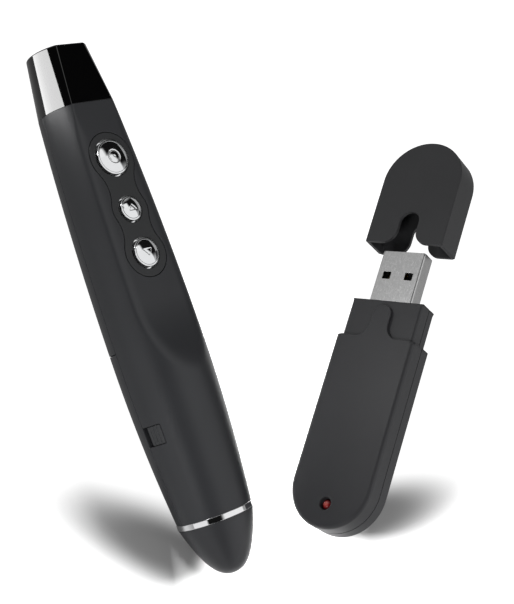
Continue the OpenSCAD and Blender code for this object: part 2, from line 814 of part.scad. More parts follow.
module plug_tongue() {
  // Insulator: a full block at the root, a thin tongue to the tip
  w = plug_w - 2 * plug_sheet - 0.2;
  t = plug_t - 2 * plug_sheet - 0.06;
  color([0.08, 0.08, 0.08]) rx() {
    translate([-w / 2, -plug_in + 0.3, -t / 2])
      cube([w, plug_in + plug_root - 0.3, t]);
    translate([-w / 2, 0, -t / 2]) cube([w, plug_l - 0.5, tongue_t]);
  }
}
module plug_contacts() {
  z = -(plug_t - 2 * plug_sheet - 0.06) / 2 + tongue_t;
  root = plug_root + 0.31;
  color("gold") rx() for (s = [-1, 1], far = [0, 1])
    translate([s * (far ? pin_out : pin_pitch / 2) - pin_w / 2, root, z])
      cube([pin_w, plug_l - root - (far ? 1.4 : 2.4), pin_h]);
}
module receiver_cap() {
  w = neck_w + 2 * cap_fit;
  t = neck_t + 2 * cap_fit;
  rnd = 0.5;
  cy = cap_l - rx_w / 2;              // centre of the cap's round end
  dy = cap_depth - w / 2;
  color([0.20, 0.20, 0.21]) rx() translate([0, cap_off - neck_l, 0]) difference() {
    union() {
      run(rx_w, rx_t, cap_round, rx_back_round, 0, cy);
      round_end(rx_w, rx_t, cap_round, rx_back_round, cy);
    }
    run(w, t, rnd, rnd, -1, dy);
    round_end(w, t, rnd, rnd, dy);
    // Room for the plug's corners
    translate([-plug_w / 2 - 0.4, 0, -plug_t / 2 - 0.3])
      cube([plug_w + 0.8, neck_l + plug_l + 0.4, plug_t + 0.6]);
    translate([0, 0, -big / 2]) linear_extrude(big) notch(0);
  }
}

// ---- lie of the two units ----
module pen() {
  translate([tip_x, tip_y, belly_r]) rotate([0, pen_roll, pen_yaw]) children();
}
rx_h = (rx_w / 2 - rx_back_round) * sin(rx_roll)
  + (rx_t / 2 - rx_back_round) * cos(rx_roll) + rx_back_round;
module rx() {
  translate([tip_x + rx_dx, tip_y + rx_dy, rx_h]) rotate([0, -rx_roll, 0])
    children();
}

front_shell();
rear_shell();
battery_door();
end_cap();
button_panel();
button(0);  // laser_button
button(1);  // page_up_button
button(2);  // page_down_button
switch_knob();
switch_case();
circuit_board();
tact(0);  // laser_tact
tact(1);  // page_up_tact
tact(2);  // page_down_tact
radio_chip();
crystal();
laser_module();
laser_lens();
battery();
battery_spring();
spring_contact();
button_contact();
nose_ring();
nose();
receiver_front();
receiver_back();
receiver_board();
receiver_chip();
lamp_lens();
plug_shell();
plug_tongue();
plug_contacts();
receiver_cap();
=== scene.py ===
import math

import bpy
import numpy as np
from mathutils import Matrix, Vector
from mathutils.geometry import delaunay_2d_cdt

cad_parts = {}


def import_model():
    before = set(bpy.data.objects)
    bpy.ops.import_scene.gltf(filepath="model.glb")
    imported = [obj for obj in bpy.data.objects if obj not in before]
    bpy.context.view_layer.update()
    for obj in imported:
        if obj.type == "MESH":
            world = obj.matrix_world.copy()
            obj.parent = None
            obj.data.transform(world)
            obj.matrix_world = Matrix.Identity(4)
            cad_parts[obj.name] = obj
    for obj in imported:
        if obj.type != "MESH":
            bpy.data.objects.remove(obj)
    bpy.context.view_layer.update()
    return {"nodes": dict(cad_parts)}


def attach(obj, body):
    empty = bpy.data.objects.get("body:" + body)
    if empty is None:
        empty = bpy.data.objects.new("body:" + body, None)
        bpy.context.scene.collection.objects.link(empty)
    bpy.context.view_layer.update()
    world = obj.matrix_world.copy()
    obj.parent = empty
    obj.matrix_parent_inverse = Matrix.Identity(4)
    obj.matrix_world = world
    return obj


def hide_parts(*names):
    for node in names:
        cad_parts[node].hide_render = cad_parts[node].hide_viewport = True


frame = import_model()
nodes = frame["nodes"]

# ---------------------------------------------------------------- sizes and frames
# Lengths are in millimetres in each unit's own frame, as in the part. Z is the unit's
# front. Y starts at the handset's tip, or at the end of the receiver's neck, whose
# body lies at negative Y.
D2R = math.pi / 180
QUARTER = math.pi / 2
TINY = 1e-9
CHUNK = 2000                           # points tested at a time

# Handset
NOSE, RING, SEAM, LEN = 13.0, 1.3, 111.5, 125.9
BODY = NOSE + RING                     # start of the shells
BELLY_R, BELLY_Y, END_R, TOP_R = 10.95, 52.5, 9.0, 7.15
NOSE_R, NOSE_POW = 8.98, 0.42
FACE_Z, FACE_TILT, CAP_TILT = 6.9, 0.97 * D2R, 3.4 * D2R
SCOOP_Y, SCOOP_R = 64.0, 40.0          # where the flat face starts to run out, and how
PART_Z, GAP = -1.0, 0.06               # seam between the shells
REAR_Y, DOOR_END = 55.5, 55.35         # rear shell's start and battery door's end
U = 9.0                                # a sketch of the barrel is this radius unrolled
BUTTONS = [(13.6, 4.1), (26.0, 2.8), (36.5, 3.35)]  # distance from the seam, radius
LOBES, HOLLOW = (6.0, 4.9, 5.6), 8.0   # the panel's lobes and the curves between them
SWITCH_Y, SWITCH_DEG = 35.5, -80       # slide switch, along and round the barrel

# Receiver
HALF_W, HALF_T = 11, 4.27
UNIT_L, NECK_L, CAP_L = 58.6, 10.1, 28.497
NECK_HALF_W, NECK_HALF_T = 10, 3.27
END_Y = -UNIT_L + HALF_W               # centre of the round end
LENS_Y, LENS_HOLE_R, LENS_R = -UNIT_L + 5.95, 1.53, 1.43
BACK_ROUND = 0.8
NOTCH_R, FLARE_R, NOTCH_TOP, NOTCH_GAP = 2.67, 3.6, 8.7, 0.12
CAP_Y = 25.5 - NECK_L                  # the pulled-off cap's mouth
PLUG_L, PLUG_ROOT, SHEET = 13.86, -5.0, 0.32
PLUG_HALF_W, PLUG_HALF_T, PLUG_FOLD = 6.0, 2.25, 0.5


def turn(axis, deg):
    return np.array(Matrix.Rotation(deg * D2R, 3, axis))


PEN_YAW, PEN_ROLL, UNIT_ROLL = 39.65, 19.05, 55.8
TIP = np.array([28.7, -58.5, BELLY_R])
UNIT_AT = np.array([
    TIP[0] + 19.0, TIP[1] + 74.3,
    (HALF_W - BACK_ROUND) * math.sin(UNIT_ROLL * D2R)
    + (HALF_T - BACK_ROUND) * math.cos(UNIT_ROLL * D2R) + BACK_ROUND])
PEN = (turn("Z", PEN_YAW) @ turn("Y", PEN_ROLL), TIP)
UNIT = (turn("Y", -UNIT_ROLL), UNIT_AT)


def world(fr, p):
    return (np.asarray(p, float) @ fr[0].T + fr[1]) * 0.001


def local(fr, p):
    return (np.asarray(p, float) * 1000 - fr[1]) @ fr[0]


def unit(v):
    """Vectors scaled to length 1."""
    return v / np.maximum(np.linalg.norm(v, axis=-1, keepdims=True), TINY)


# ---------------------------------------------------------------- handset form
def barrel_r(y):
    y = np.asarray(y, float)
    low = BELLY_R - (BELLY_R - END_R) * ((BELLY_Y - y) / (BELLY_Y - BODY)) ** 2
    high = BELLY_R - (BELLY_R - END_R) * ((y - BELLY_Y) / (SEAM - BELLY_Y)) ** 2
    return np.where(y < BELLY_Y, low, high)


def face_h(y):
    """Height of the flat face over the axis, with its run-out before SCOOP_Y."""
    y = np.asarray(y, float)
    flat = FACE_Z + (SEAM - y) * math.tan(FACE_TILT)
    cy = SCOOP_Y + SCOOP_R * math.sin(FACE_TILT)
    cz = FACE_Z + (SEAM - SCOOP_Y) * math.tan(FACE_TILT) + SCOOP_R * math.cos(FACE_TILT)
    run = cz - np.sqrt(np.clip(SCOOP_R ** 2 - (y - cy) ** 2, 1, None))
    return np.where(y > SCOOP_Y, flat, run)


def smooth(a, b, x):
    t = np.clip((np.asarray(x, float) - a) / (b - a), 0, 1)
    return t * t * (3 - 2 * t)


def soft_min(a, b, k):
    """The lesser of a and b, blended where they are within k."""
    e = np.clip(k - np.abs(a - b), 0, None) / k
    return np.minimum(a, b) - e * e * k / 4


def facing(th, height):
    """Radius at which the angle th meets a face at a height; far out behind the axis."""
    c = np.cos(th)
    return np.where(c > 0.05, height / np.maximum(c, 0.05), 99.0)


def pen_r(th, y):
    """Radius of the barrel. The face's edge is soft, and gets crisp towards the end cap."""
    edge = 0.12 + 1.15 * (1 - smooth(101.0, 111.0, y))
    return soft_min(barrel_r(y), facing(th, face_h(y)), edge)


def cap_r(th, y):
    """Radius of the end cap."""
    r = END_R + (TOP_R - END_R) * (y - SEAM) / (LEN - SEAM)
    return soft_min(r, facing(th, FACE_Z - (y - SEAM) * math.tan(CAP_TILT)), 0.16)


def rolled(radius):
    """Point and outward normal of a barrel-like form at (u, y), u being its arc at radius U."""
    def point(u, y):
        th = u / U
        r = radius(th, y)
        return np.stack([r * np.sin(th), y + 0 * th, r * np.cos(th)], -1)

    def form(u, y):
        u, y = np.asarray(u, float), np.asarray(y, float)
        e = 0.02
        n = unit(np.cross(point(u, y + e) - point(u, y - e), point(u + e, y) - point(u - e, y)))
        p = point(u, y)
        out = np.sign((n * p * [1, 0, 1]).sum(-1, keepdims=True))
        return p, n * out
    return form


def level(z, up):
    """A flat face at height z that looks up (1) or down (-1)."""
    def form(u, v):
        u, v = np.asarray(u, float), np.asarray(v, float)
        return np.stack([u, v, z + 0 * u], -1), np.stack([0 * u, 0 * u, 0 * u + up], -1)
    return form


# ---------------------------------------------------------------- mesh making
class Shape:
    def __init__(self):
        self.v, self.n, self.f, self.count = [], [], [], 0

    def add(self, v, n, f):
        self.v.append(np.asarray(v, float).reshape(-1, 3))
        self.n.append(np.asarray(n, float).reshape(-1, 3))
        self.f += [tuple(int(i) + self.count for i in q) for q in f]
        self.count += len(self.v[-1])

    def build(self, name, fr, body, mat, node):
        """Makes the piece, in place of a CAD node."""
        v, n = np.concatenate(self.v), np.concatenate(self.n)
        me = bpy.data.meshes.new(name)
        me.from_pydata(world(fr, v).tolist(), [], self.f)
        me.polygons.foreach_set("use_smooth", [True] * len(me.polygons))
        me.validate(clean_customdata=False)
        me.normals_split_custom_set_from_vertices((n @ fr[0].T).tolist())
        ob = bpy.data.objects.new(name, me)
        bpy.context.scene.collection.objects.link(ob)
        me.materials.append(mat)
        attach(ob, body)
        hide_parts(node)


def grid(shape, p, n, wrap=False, flip=False):
    """Quads over a rows x columns table of points and normals."""
    r, c = p.shape[:2]
    f = []
    for i in range(r - 1):
        for j in range(c if wrap else c - 1):
            k = (j + 1) % c
            q = (i * c + j, i * c + k, (i + 1) * c + k, (i + 1) * c + j)
            f.append(q[::-1] if flip else q)
    shape.add(p, n, f)


def spun(shape, prof, steps, axis_at=(0, 0, 0), axis="y"):
    """A solid of revolution. prof has rows of radius, height, normal out and normal up,
    from top to bottom."""
    a = np.linspace(0, 2 * math.pi, steps, endpoint=False)
    prof = np.asarray(prof, float)
    r, h, nr, nh = (prof[:, i][:, None] for i in range(4))

    def ring(x, y):
        if axis == "y":
            return np.stack([x * np.cos(a), 0 * a + y, -x * np.sin(a)], -1)
        return np.stack([x * np.cos(a), x * np.sin(a), 0 * a + y], -1)

    grid(shape, ring(r, h) + np.array(axis_at), ring(nr, nh), wrap=True, flip=True)


def profile(points, steps=3):
    """Rounds the corners of an open line of (radius, height, bevel) points, which goes
    from the top axis down the outside."""
    def across(d):
        return np.array([-d[1], d[0]])

    rows = []
    for i, (x, y, b) in enumerate(points):
        here = np.array([x, y])
        runs = []
        if i:
            d = here - np.array(points[i - 1][:2])
            runs.append(d / np.linalg.norm(d))
        if i < len(points) - 1:
            d = np.array(points[i + 1][:2]) - here
            runs.append(d / np.linalg.norm(d))
        if len(runs) == 1 or b <= 0:
            rows += [(*here, *across(d)) for d in runs]
            continue
        d0, d1 = runs
        for k in range(steps + 1):
            t = k / steps
            a, c = here - d0 * b, here + d1 * b
            q = a * (1 - t) ** 2 + 2 * here * t * (1 - t) + c * t * t
            n = across(d0) * (1 - t) + across(d1) * t
            n = n / max(np.linalg.norm(n), 1e-6)
            rows.append((*q, *n))
    return rows


def inside(pts, loops):
    """Which points lie inside an odd number of the loops."""
    hit = np.zeros(len(pts), bool)
    for lp in loops:
        a, b = lp, np.roll(lp, -1, axis=0)
        for s in range(0, len(pts), CHUNK):
            x, y = pts[s:s + CHUNK, 0][:, None], pts[s:s + CHUNK, 1][:, None]
            cross = (a[:, 1] > y) != (b[:, 1] > y)
            dy = np.where(b[:, 1] == a[:, 1], 1e-12, b[:, 1] - a[:, 1])
            xi = a[:, 0] + (y - a[:, 1]) * (b[:, 0] - a[:, 0]) / dy
            hit[s:s + CHUNK] ^= ((cross & (x < xi)).sum(1) % 2).astype(bool)
    return hit


def dense(points, step):
    """A closed line with points added so that none are further apart than step."""
    out = []
    n = len(points)
    for i in range(n):
        a, b = np.array(points[i], float), np.array(points[(i + 1) % n], float)
        m = max(1, int(math.ceil(np.linalg.norm(b - a) / step)))
        out += [a + (b - a) * k / m for k in range(m)]
    return np.array(out)


def arc(cx, cy, r, a0, a1, n):
    t = np.linspace(a0, a1, n) * D2R
    return [(cx + r * math.cos(x), cy + r * math.sin(x)) for x in t]


def circle(cx, cy, r, n=72):
    """A circle's points, clockwise, as a hole needs them."""
    return np.array(arc(cx, cy, r, 360, 0, n + 1)[:-1])


def mirrored(points):
    """The left side of a line whose right side is given, in the order that goes on from it."""
    return [(-x, y) for x, y in points[::-1]]


def outward(p):
    """Offsets that move a loop outward by 1, mitred at its corners."""
    d = unit(np.roll(p, -1, 0) - p)
    e = np.stack([d[:, 1], -d[:, 0]], 1)
    m = e + np.roll(e, 1, 0)
    m /= np.maximum((m * m).sum(1, keepdims=True) / 2, 0.3)
    return m


def lattice(inner, step):
    """Grid points inside the loops, none too near their edges."""
    edge = np.concatenate(inner)
    lo, hi = edge.min(0), edge.max(0)
    gx = np.arange(lo[0] + step[0] / 2, hi[0], step[0])
    gy = np.arange(lo[1] + step[1] / 2, hi[1], step[1])
    g = np.array([(x, y) for y in gy for x in gx]).reshape(-1, 2)
    g = g[inside(g, inner)]
    keep = np.ones(len(g), bool)
    for s in range(0, len(g), CHUNK):
        d2 = ((g[s:s + CHUNK, None, :] - edge[None]) ** 2).sum(2).min(1)
        keep[s:s + CHUNK] = d2 > (0.55 * min(step)) ** 2
    return g[keep]


def edge_wall(shape, form, lp, q, arcs, up):
    """The rounded edge from the face's rim q out to the loop, and the wall below it."""
    p = np.asarray(lp["p"], float)
    m, n = len(p), outward(p)
    b = np.broadcast_to(np.asarray(lp["b"], float), (m,))
    depth = np.broadcast_to(np.asarray(lp["d"], float), (m,))
    foot, on = lp.get("t", 0.0), lp.get("on")
    P0, N0 = form(p[:, 0], p[:, 1])
    e = unit(n) * 0.01
    T = form(*(p + e).T)[0] - form(*(p - e).T)[0]
    T = unit(T - N0 * (T * N0).sum(1, keepdims=True))
    rows, norm = [], []
    for k in range(arcs + 1):
        f = k / arcs * QUARTER
        w = q + n * (b * math.sin(f))[:, None]
        Pk, Nk = form(w[:, 0], w[:, 1])
        rows.append(Pk - Nk * (b * (1 - math.cos(f)))[:, None])
        norm.append(Nk * math.cos(f) + T * math.sin(f))
    rows.append(P0 - N0 * (depth - foot)[:, None])
    norm.append(T)
    for k in range(1, 4) if foot else ():
        f = k / 3 * QUARTER
        rows.append(P0 - T * (foot * (1 - math.cos(f)))
                    - N0 * (depth - foot + foot * math.sin(f))[:, None])
        norm.append(T * math.cos(f) - N0 * math.sin(f))
    f = []
    for i in range(len(rows) - 1):
        if i < arcs and b.max() <= 0:
            continue
        for j in range(m):
            k = (j + 1) % m
            if on is not None and not (on[j] and on[k]):
                continue
            quad = (i * m + j, (i + 1) * m + j, (i + 1) * m + k, i * m + k)
            f.append(quad if up else quad[::-1])
    shape.add(np.array(rows), unit(np.array(norm)), f)


def skin(shape, form, loops, step, arcs=3):
    """The face of a form inside loops (outer anticlockwise, holes clockwise). A loop is
    {p: points, b: edge radius, d: wall depth, t: radius at the wall's foot,
    on: which points have a wall}. The last two may be left out."""
    inner, edges, at = [], [], 0
    for lp in loops:
        p = np.asarray(lp["p"], float)
        b = np.broadcast_to(np.asarray(lp["b"], float), (len(p),))
        inner.append(p - outward(p) * b[:, None])
        edges += [(at + i, at + (i + 1) % len(p)) for i in range(len(p))]
        at += len(p)
    pts = np.concatenate(inner + [lattice(inner, step)])
    vs, _, fs, _, _, _ = delaunay_2d_cdt([Vector(x) for x in pts], edges, [], 0, 1e-5)
    vs = np.array([tuple(x) for x in vs]).reshape(-1, 2)
    fs = np.array([tuple(x) for x in fs])
    fs = fs[inside(vs[fs].mean(1), inner)]
    p, n = form(vs[:, 0], vs[:, 1])
    a, b, c = (p[fs[:, i]] for i in range(3))
    up = (np.cross(b - a, c - a) * n[fs[:, 0]]).sum(1).sum() > 0
    shape.add(p, n, fs if up else fs[:, ::-1])
    for lp, q in zip(loops, inner):
        edge_wall(shape, form, lp, q, arcs, up)


def keep_inside(shape, fr, node, drop, depth=None, lift=None):
    """Copies the inner faces of a CAD node. drop(corners, their depths) says which faces
    go, and lift moves what stays clear of the new skin."""
    me = nodes[node].data
    co = local(fr, np.array([v.co for v in me.vertices], float))
    me.calc_loop_triangles()
    tri = np.array([t.vertices for t in me.loop_triangles])
    d = depth(co) if depth else np.zeros(len(co))
    tri = tri[~drop(co[tri], d[tri])]
    if lift:
        co = lift(co)
    p = co[tri]
    n = np.cross(p[:, 1] - p[:, 0], p[:, 2] - p[:, 0])
    ln = np.linalg.norm(n, axis=1)
    ok = ln > TINY
    p, n = p[ok], n[ok] / ln[ok][:, None]
    shape.add(p.reshape(-1, 3), np.repeat(n, 3, 0), np.arange(len(p) * 3).reshape(-1, 3))


def polar(co):
    return np.arctan2(co[:, 0], co[:, 2]), np.hypot(co[:, 0], co[:, 2])


def pen_depth(co):
    th, r = polar(co)
    return pen_r(th, co[:, 1]) - r


def pen_lift(co):
    th, r = polar(co)
    r = np.minimum(r, pen_r(th, co[:, 1]) - 0.3)
    return np.stack([r * np.sin(th), co[:, 1], r * np.cos(th)], 1)


# ---------------------------------------------------------------- materials
def blank(name):
    m = bpy.data.materials.new(name)
    m.use_nodes = True
    return m, m.node_tree, m.node_tree.nodes["Principled BSDF"]


def made(t, kind, **settings):
    """A new node of a tree, with its settings."""
    n = t.nodes.new("ShaderNode" + kind)
    for setting, value in settings.items():
        setattr(n, setting, value)
    return n


def noise(t, scale, detail, rough=0.55, stretch=None):
    src = made(t, "TexCoord").outputs["Object"]
    if stretch is not None:
        mp = made(t, "Mapping")
        mp.inputs["Rotation"].default_value, mp.inputs["Scale"].default_value = stretch
        t.links.new(src, mp.inputs["Vector"])
        src = mp.outputs["Vector"]
    n = made(t, "TexNoise")
    n.inputs["Scale"].default_value = scale
    n.inputs["Detail"].default_value = detail
    n.inputs["Roughness"].default_value = rough
    t.links.new(src, n.inputs["Vector"])
    return n.outputs["Fac"]


def ramp(t, fac, stops, to):
    r = made(t, "ValToRGB")
    el = r.color_ramp.elements
    for i, (pos, colour) in enumerate(stops):
        e = el[i] if i < 2 else el.new(pos)
        e.position, e.color = pos, (*colour, 1)
    t.links.new(fac, r.inputs["Fac"])
    t.links.new(r.outputs["Color"], to)


def sums(t, op, a, b):
    """A Math node on two values, each a number or another node's output."""
    n = made(t, "Math", operation=op)
    for i, x in enumerate((a, b)):
        if isinstance(x, (int, float)):
            n.inputs[i].default_value = x
        else:
            t.links.new(x, n.inputs[i])
    return n.outputs[0]


def ranged(t, fac, lo, hi, to):
    m = made(t, "MapRange")
    m.inputs["To Min"].default_value, m.inputs["To Max"].default_value = lo, hi
    t.links.new(fac, m.inputs["Value"])
    t.links.new(m.outputs["Result"], to)


def bumped(t, shader, height, strength):
    b = made(t, "Bump")
    b.inputs["Strength"].default_value, b.inputs["Distance"].default_value = strength, 0.00002
    t.links.new(height, b.inputs["Height"])
    t.links.new(b.outputs["Normal"], shader.inputs["Normal"])


def varied(t, fac, colour, vary, to):
    """A colour that goes a little darker and lighter with a noise."""
    ramp(t, fac, [(at, [min(1.0, x * k) for x in colour])
                  for at, k in ((0.3, 1 - vary), (0.7, 1 + vary))], to)


def plastic(name, colour, rough, grain=8000, bump=0.10, vary=0.05, spec=0.36):
    """Moulded plastic: fine spark-eroded grain, faint cloudiness in colour and gloss."""
    m, t, sh = blank(name)
    varied(t, noise(t, 60, 3), colour, vary, sh.inputs["Base Color"])
    fine = noise(t, grain, 2, 0.6)
    ranged(t, fine, rough - 0.05, rough + 0.05, sh.inputs["Roughness"])
    sh.inputs["Specular IOR Level"].default_value = spec
    if bump:
        bumped(t, sh, fine, bump)
    return m


def metal(name, colour, rough, grain=3000, vary=0.05, streak=0.04):
    m, t, sh = blank(name)
    sh.inputs["Metallic"].default_value = 1.0
    n = noise(t, grain, 3, 0.6)
    varied(t, n, colour, vary, sh.inputs["Base Color"])
    ranged(t, n, max(0.0, rough - streak), rough + streak, sh.inputs["Roughness"])
    return m


def gloss_material():
    """Polished black plastic."""
    m = plastic("gloss_black", (0.002, 0.002, 0.0022), 0.05, 700, bump=0.0, vary=0.2, spec=0.5)
    m.node_tree.nodes["Principled BSDF"].inputs["IOR"].default_value = 1.6
    return m


def clear_material():
    m, t, sh = blank("clear_lens")
    n = noise(t, 400, 2)
    ramp(t, n, [(0.3, (0.80, 0.86, 0.92)), (0.7, (0.88, 0.92, 0.96))], sh.inputs["Base Color"])
    ranged(t, n, 0.02, 0.06, sh.inputs["Roughness"])
    sh.inputs["Transmission Weight"].default_value = 0.9
    sh.inputs["IOR"].default_value = 1.49
    return m


def nickel_material():
    """Bare nickel-plated sheet: rolled grain with small specks and pits."""
    m, t, sh = blank("plug_nickel")
    sh.inputs["Metallic"].default_value = 1.0
    rolling = ((0, UNIT_ROLL * D2R, 0), (1.0, 0.45, 1.0))
    grain = sums(t, "ADD", noise(t, 2600, 6, 0.75, rolling),
                 sums(t, "MULTIPLY", noise(t, 5200, 2, 0.5), 0.45))
    ramp(t, grain, [(at, (grey, grey, grey)) for at, grey in
                    ((0.42, 0.46), (0.72, 0.55), (0.92, 0.70))], sh.inputs["Base Color"])
    ranged(t, grain, 0.34, 0.26, sh.inputs["Roughness"])
    bumped(t, sh, grain, 0.06)
    return m


def lamp_material(centre):
    """Red dyed epoxy: a painted gradient, deep red at the rim and lighter in the middle."""
    m, t, sh = blank("red_lens")
    d = made(t, "VectorMath", operation="DISTANCE")
    d.inputs[1].default_value = centre
    t.links.new(made(t, "TexCoord").outputs["Object"], d.inputs[0])
    mr = made(t, "MapRange")
    mr.inputs["From Max"].default_value = 0.0015      # the lens's radius in metres
    t.links.new(d.outputs["Value"], mr.inputs["Value"])
    ramp(t, mr.outputs["Result"], [(0.12, (0.38, 0.06, 0.05)), (0.55, (0.15, 0.006, 0.007)),
                                   (0.9, (0.04, 0.002, 0.003))], sh.inputs["Base Color"])
    ranged(t, noise(t, 900, 2), 0.16, 0.24, sh.inputs["Roughness"])
    sh.inputs["Coat Weight"].default_value = 0.6
    return m


mat_body = plastic("matte_charcoal", (0.026, 0.0268, 0.0293), 0.38)
mat_nose = plastic("matte_nose", (0.026, 0.0265, 0.029), 0.40)
mat_panel = plastic("satin_panel", (0.026, 0.0268, 0.028), 0.38, bump=0.08, vary=0.04)
mat_knob = plastic("satin_knob", (0.026, 0.027, 0.029), 0.40, 9000, bump=0.08, spec=0.5)
mat_unit = plastic("matte_unit", (0.028, 0.0282, 0.0305), 0.42)
mat_unit_cap = plastic("matte_unit_cap", (0.030, 0.0303, 0.032), 0.42)
mat_board = plastic("solder_mask", (0.012, 0.11, 0.035), 0.35, 1500, 0.15, 0.25, 0.5)
mat_chip = plastic("moulded_epoxy", (0.02, 0.02, 0.021), 0.55, 6000, 0.25, 0.15, 0.5)
mat_chrome = metal("chrome", (0.88, 0.89, 0.90), 0.05, 900, 0.01, 0.012)
mat_ring = metal("chrome_ring", (0.93, 0.93, 0.94), 0.06, 900, 0.01, 0.012)
mat_steel = metal("plated_steel", (0.52, 0.52, 0.50), 0.28, vary=0.08)
mat_brass = metal("gold_plate", (0.86, 0.62, 0.24), 0.22)
mat_cell = metal("cell_wrap", (0.30, 0.31, 0.34), 0.30, 500, 0.10)
mat_gloss = gloss_material()
mat_clear = clear_material()
mat_nickel = nickel_material()

# ---------------------------------------------------------------- handset shells
PEN_SKIN = rolled(pen_r)
SEAM_EDGE, SEAM_DEEP = 0.11, 0.32      # rounding and depth of the shells' seams
SURFACE = 0.06                         # CAD faces this near the outside are replaced


def on_surface(p, d):
    return (d < SURFACE).all(1)


def seam_u(y, z):
    return U * np.arccos(np.clip(z / barrel_r(y), -1, 1))


def panel_loop(g):
    """The scalloped panel's outline, grown by g: three lobes joined by hollow curves.
    Clockwise seen from outside."""
    dist = [d for d, _ in BUTTONS]
    hollows = []
    for i in range(2):
        ra, rb, d = LOBES[i] + HOLLOW, LOBES[i + 1] + HOLLOW, dist[i + 1] - dist[i]
        a = (d * d + ra * ra - rb * rb) / (2 * d)
        hollows.append((math.sqrt(ra * ra - a * a), -dist[i] - a))

    def ang(c, o):
        return math.degrees(math.atan2(o[1] - c[1], o[0] - c[0]))

    upper, mid, lower = [(0.0, -d) for d in dist]
    h0, h1 = hollows
    right = arc(*upper, LOBES[0] + g, 90, ang(upper, h0), 26)
    right += arc(*h0, HOLLOW - g, ang(h0, upper) % 360, ang(h0, mid) % 360, 14)[1:]
    right += arc(*mid, LOBES[1] + g, ang(mid, h0), ang(mid, h1), 12)[1:]
    right += arc(*h1, HOLLOW - g, ang(h1, mid) % 360, ang(h1, lower) % 360, 14)[1:]
    right += arc(*lower, LOBES[2] + g, ang(lower, h1), -90, 26)[1:]
    return np.array(right + mirrored(right)[1:-1])


def on_face(p):
    """Sketch points of the flat face (across, along from the seam) to (u, y)."""
    p = np.asarray(p, float)
    y = SEAM + p[:, 1] * math.cos(FACE_TILT)
    z = FACE_Z - p[:, 1] * math.sin(FACE_TILT)
    return np.stack([U * np.arctan2(p[:, 0], z), y], 1)


# Front shell: from one side seam over the face to the other. The slide switch's window
# is open to the seam and has two rounded corners.
SWITCH_R = float(barrel_r(SWITCH_Y))
WINDOW_Y0, WINDOW_Y1, WINDOW_HALF, WINDOW_ROUND = 33.2, 37.8, 2.7, 0.3


def front_outline():
    ys = np.linspace(BODY, SEAM, 122)
    right = [(float(seam_u(y, PART_Z)), float(y)) for y in ys]
    left = mirrored(right)
    edge = -U * (80 - math.degrees(math.atan2(WINDOW_HALF, SWITCH_R))) * D2R - WINDOW_ROUND
    y0, y1 = WINDOW_Y0, WINDOW_Y1
    return dense(
        right + [p for p in left if p[1] > y1 + 0.2] + [(-float(seam_u(y1, PART_Z)), y1)]
        + arc(edge, y1 - WINDOW_ROUND, WINDOW_ROUND, 90, 0, 5)
        + arc(edge, y0 + WINDOW_ROUND, WINDOW_ROUND, 0, -90, 5)
        + [(-float(seam_u(y0, PART_Z)), y0)] + [p for p in left if p[1] < y0 - 0.2], 0.8)


s = Shape()
skin(s, PEN_SKIN, [{"p": front_outline(), "b": SEAM_EDGE, "d": SEAM_DEEP},
                   {"p": on_face(panel_loop(0.14)), "b": 0.13, "d": 0.5}], (0.34, 0.85))
keep_inside(s, PEN, "front_shell", on_surface, pen_depth, pen_lift)
s.build("handset_front", PEN, "handset", mat_body, "front_shell")

for name, node, body, y0, y1 in (
        ("handset_rear", "rear_shell", "handset", REAR_Y, SEAM),
        ("battery_cover", "battery_door", "door", BODY + GAP, DOOR_END)):
    ys = np.linspace(y0, y1, max(30, int((y1 - y0) / 0.9)))
    side = [(float(seam_u(y, PART_Z - GAP)), float(y)) for y in ys[::-1]]
    side += [(2 * math.pi * U - float(seam_u(y, PART_Z - GAP)), float(y)) for y in ys]
    s = Shape()
    skin(s, PEN_SKIN, [{"p": dense(side, 0.9), "b": SEAM_EDGE, "d": SEAM_DEEP}], (0.7, 1.2))
    keep_inside(s, PEN, node, on_surface, pen_depth, pen_lift)
    s.build(name, PEN, body, mat_body, node)

# Scalloped panel with the three button holes
s = Shape()
loops = [{"p": on_face(panel_loop(0.0))[::-1], "b": 0.14, "d": 0.5}]
for dist, r in BUTTONS:
    loops.append({"p": on_face(circle(0, -dist, r + 0.4)), "b": 0.16, "d": 0.6})
skin(s, PEN_SKIN, loops, (0.5, 0.5))
keep_inside(s, PEN, "button_panel", on_surface, pen_depth, pen_lift)
s.build("scalloped_panel", PEN, "handset", mat_panel, "button_panel")

# ---------------------------------------------------------------- buttons
TILT_COS, TILT_SIN = math.cos(FACE_TILT), math.sin(FACE_TILT)
RIM = 0.42                             # width of the raised rim round the dome
PROUD, DOME_H = 0.25, 0.75             # the dome's edge and height over the face
MARK_DEEP = 0.10
FLANGE_Z0, FLANGE_Z1, FLANGE_OUT = -1.66, -2.26, 0.9
POST_R, POST_L = 1.4, 0.59             # the post that presses the tact switch


def face_frame(dist):
    """Frame whose Z is the flat face's normal, at a button's centre."""
    tilt = np.array([[1, 0, 0], [0, TILT_COS, TILT_SIN], [0, -TILT_SIN, TILT_COS]])
    o = np.array([0, SEAM - dist * TILT_COS, FACE_Z + dist * TILT_SIN])
    return PEN[0] @ tilt, PEN[0] @ o + PEN[1]


def strokes(kind):
    """Lines of a plain mark: a ring with a dot, or a filled triangle."""
    if kind == "ring":
        return [arc(0, 0, 1.25, 0, 360, 40), [(0, 0), (0.001, 0)]]
    k = 1 if kind == "up" else -1
    return [[(-w, y * k), (w, y * k)]
            for w, y in zip(np.linspace(0.95, 0.0, 12), np.linspace(-0.5, 0.7, 12))]


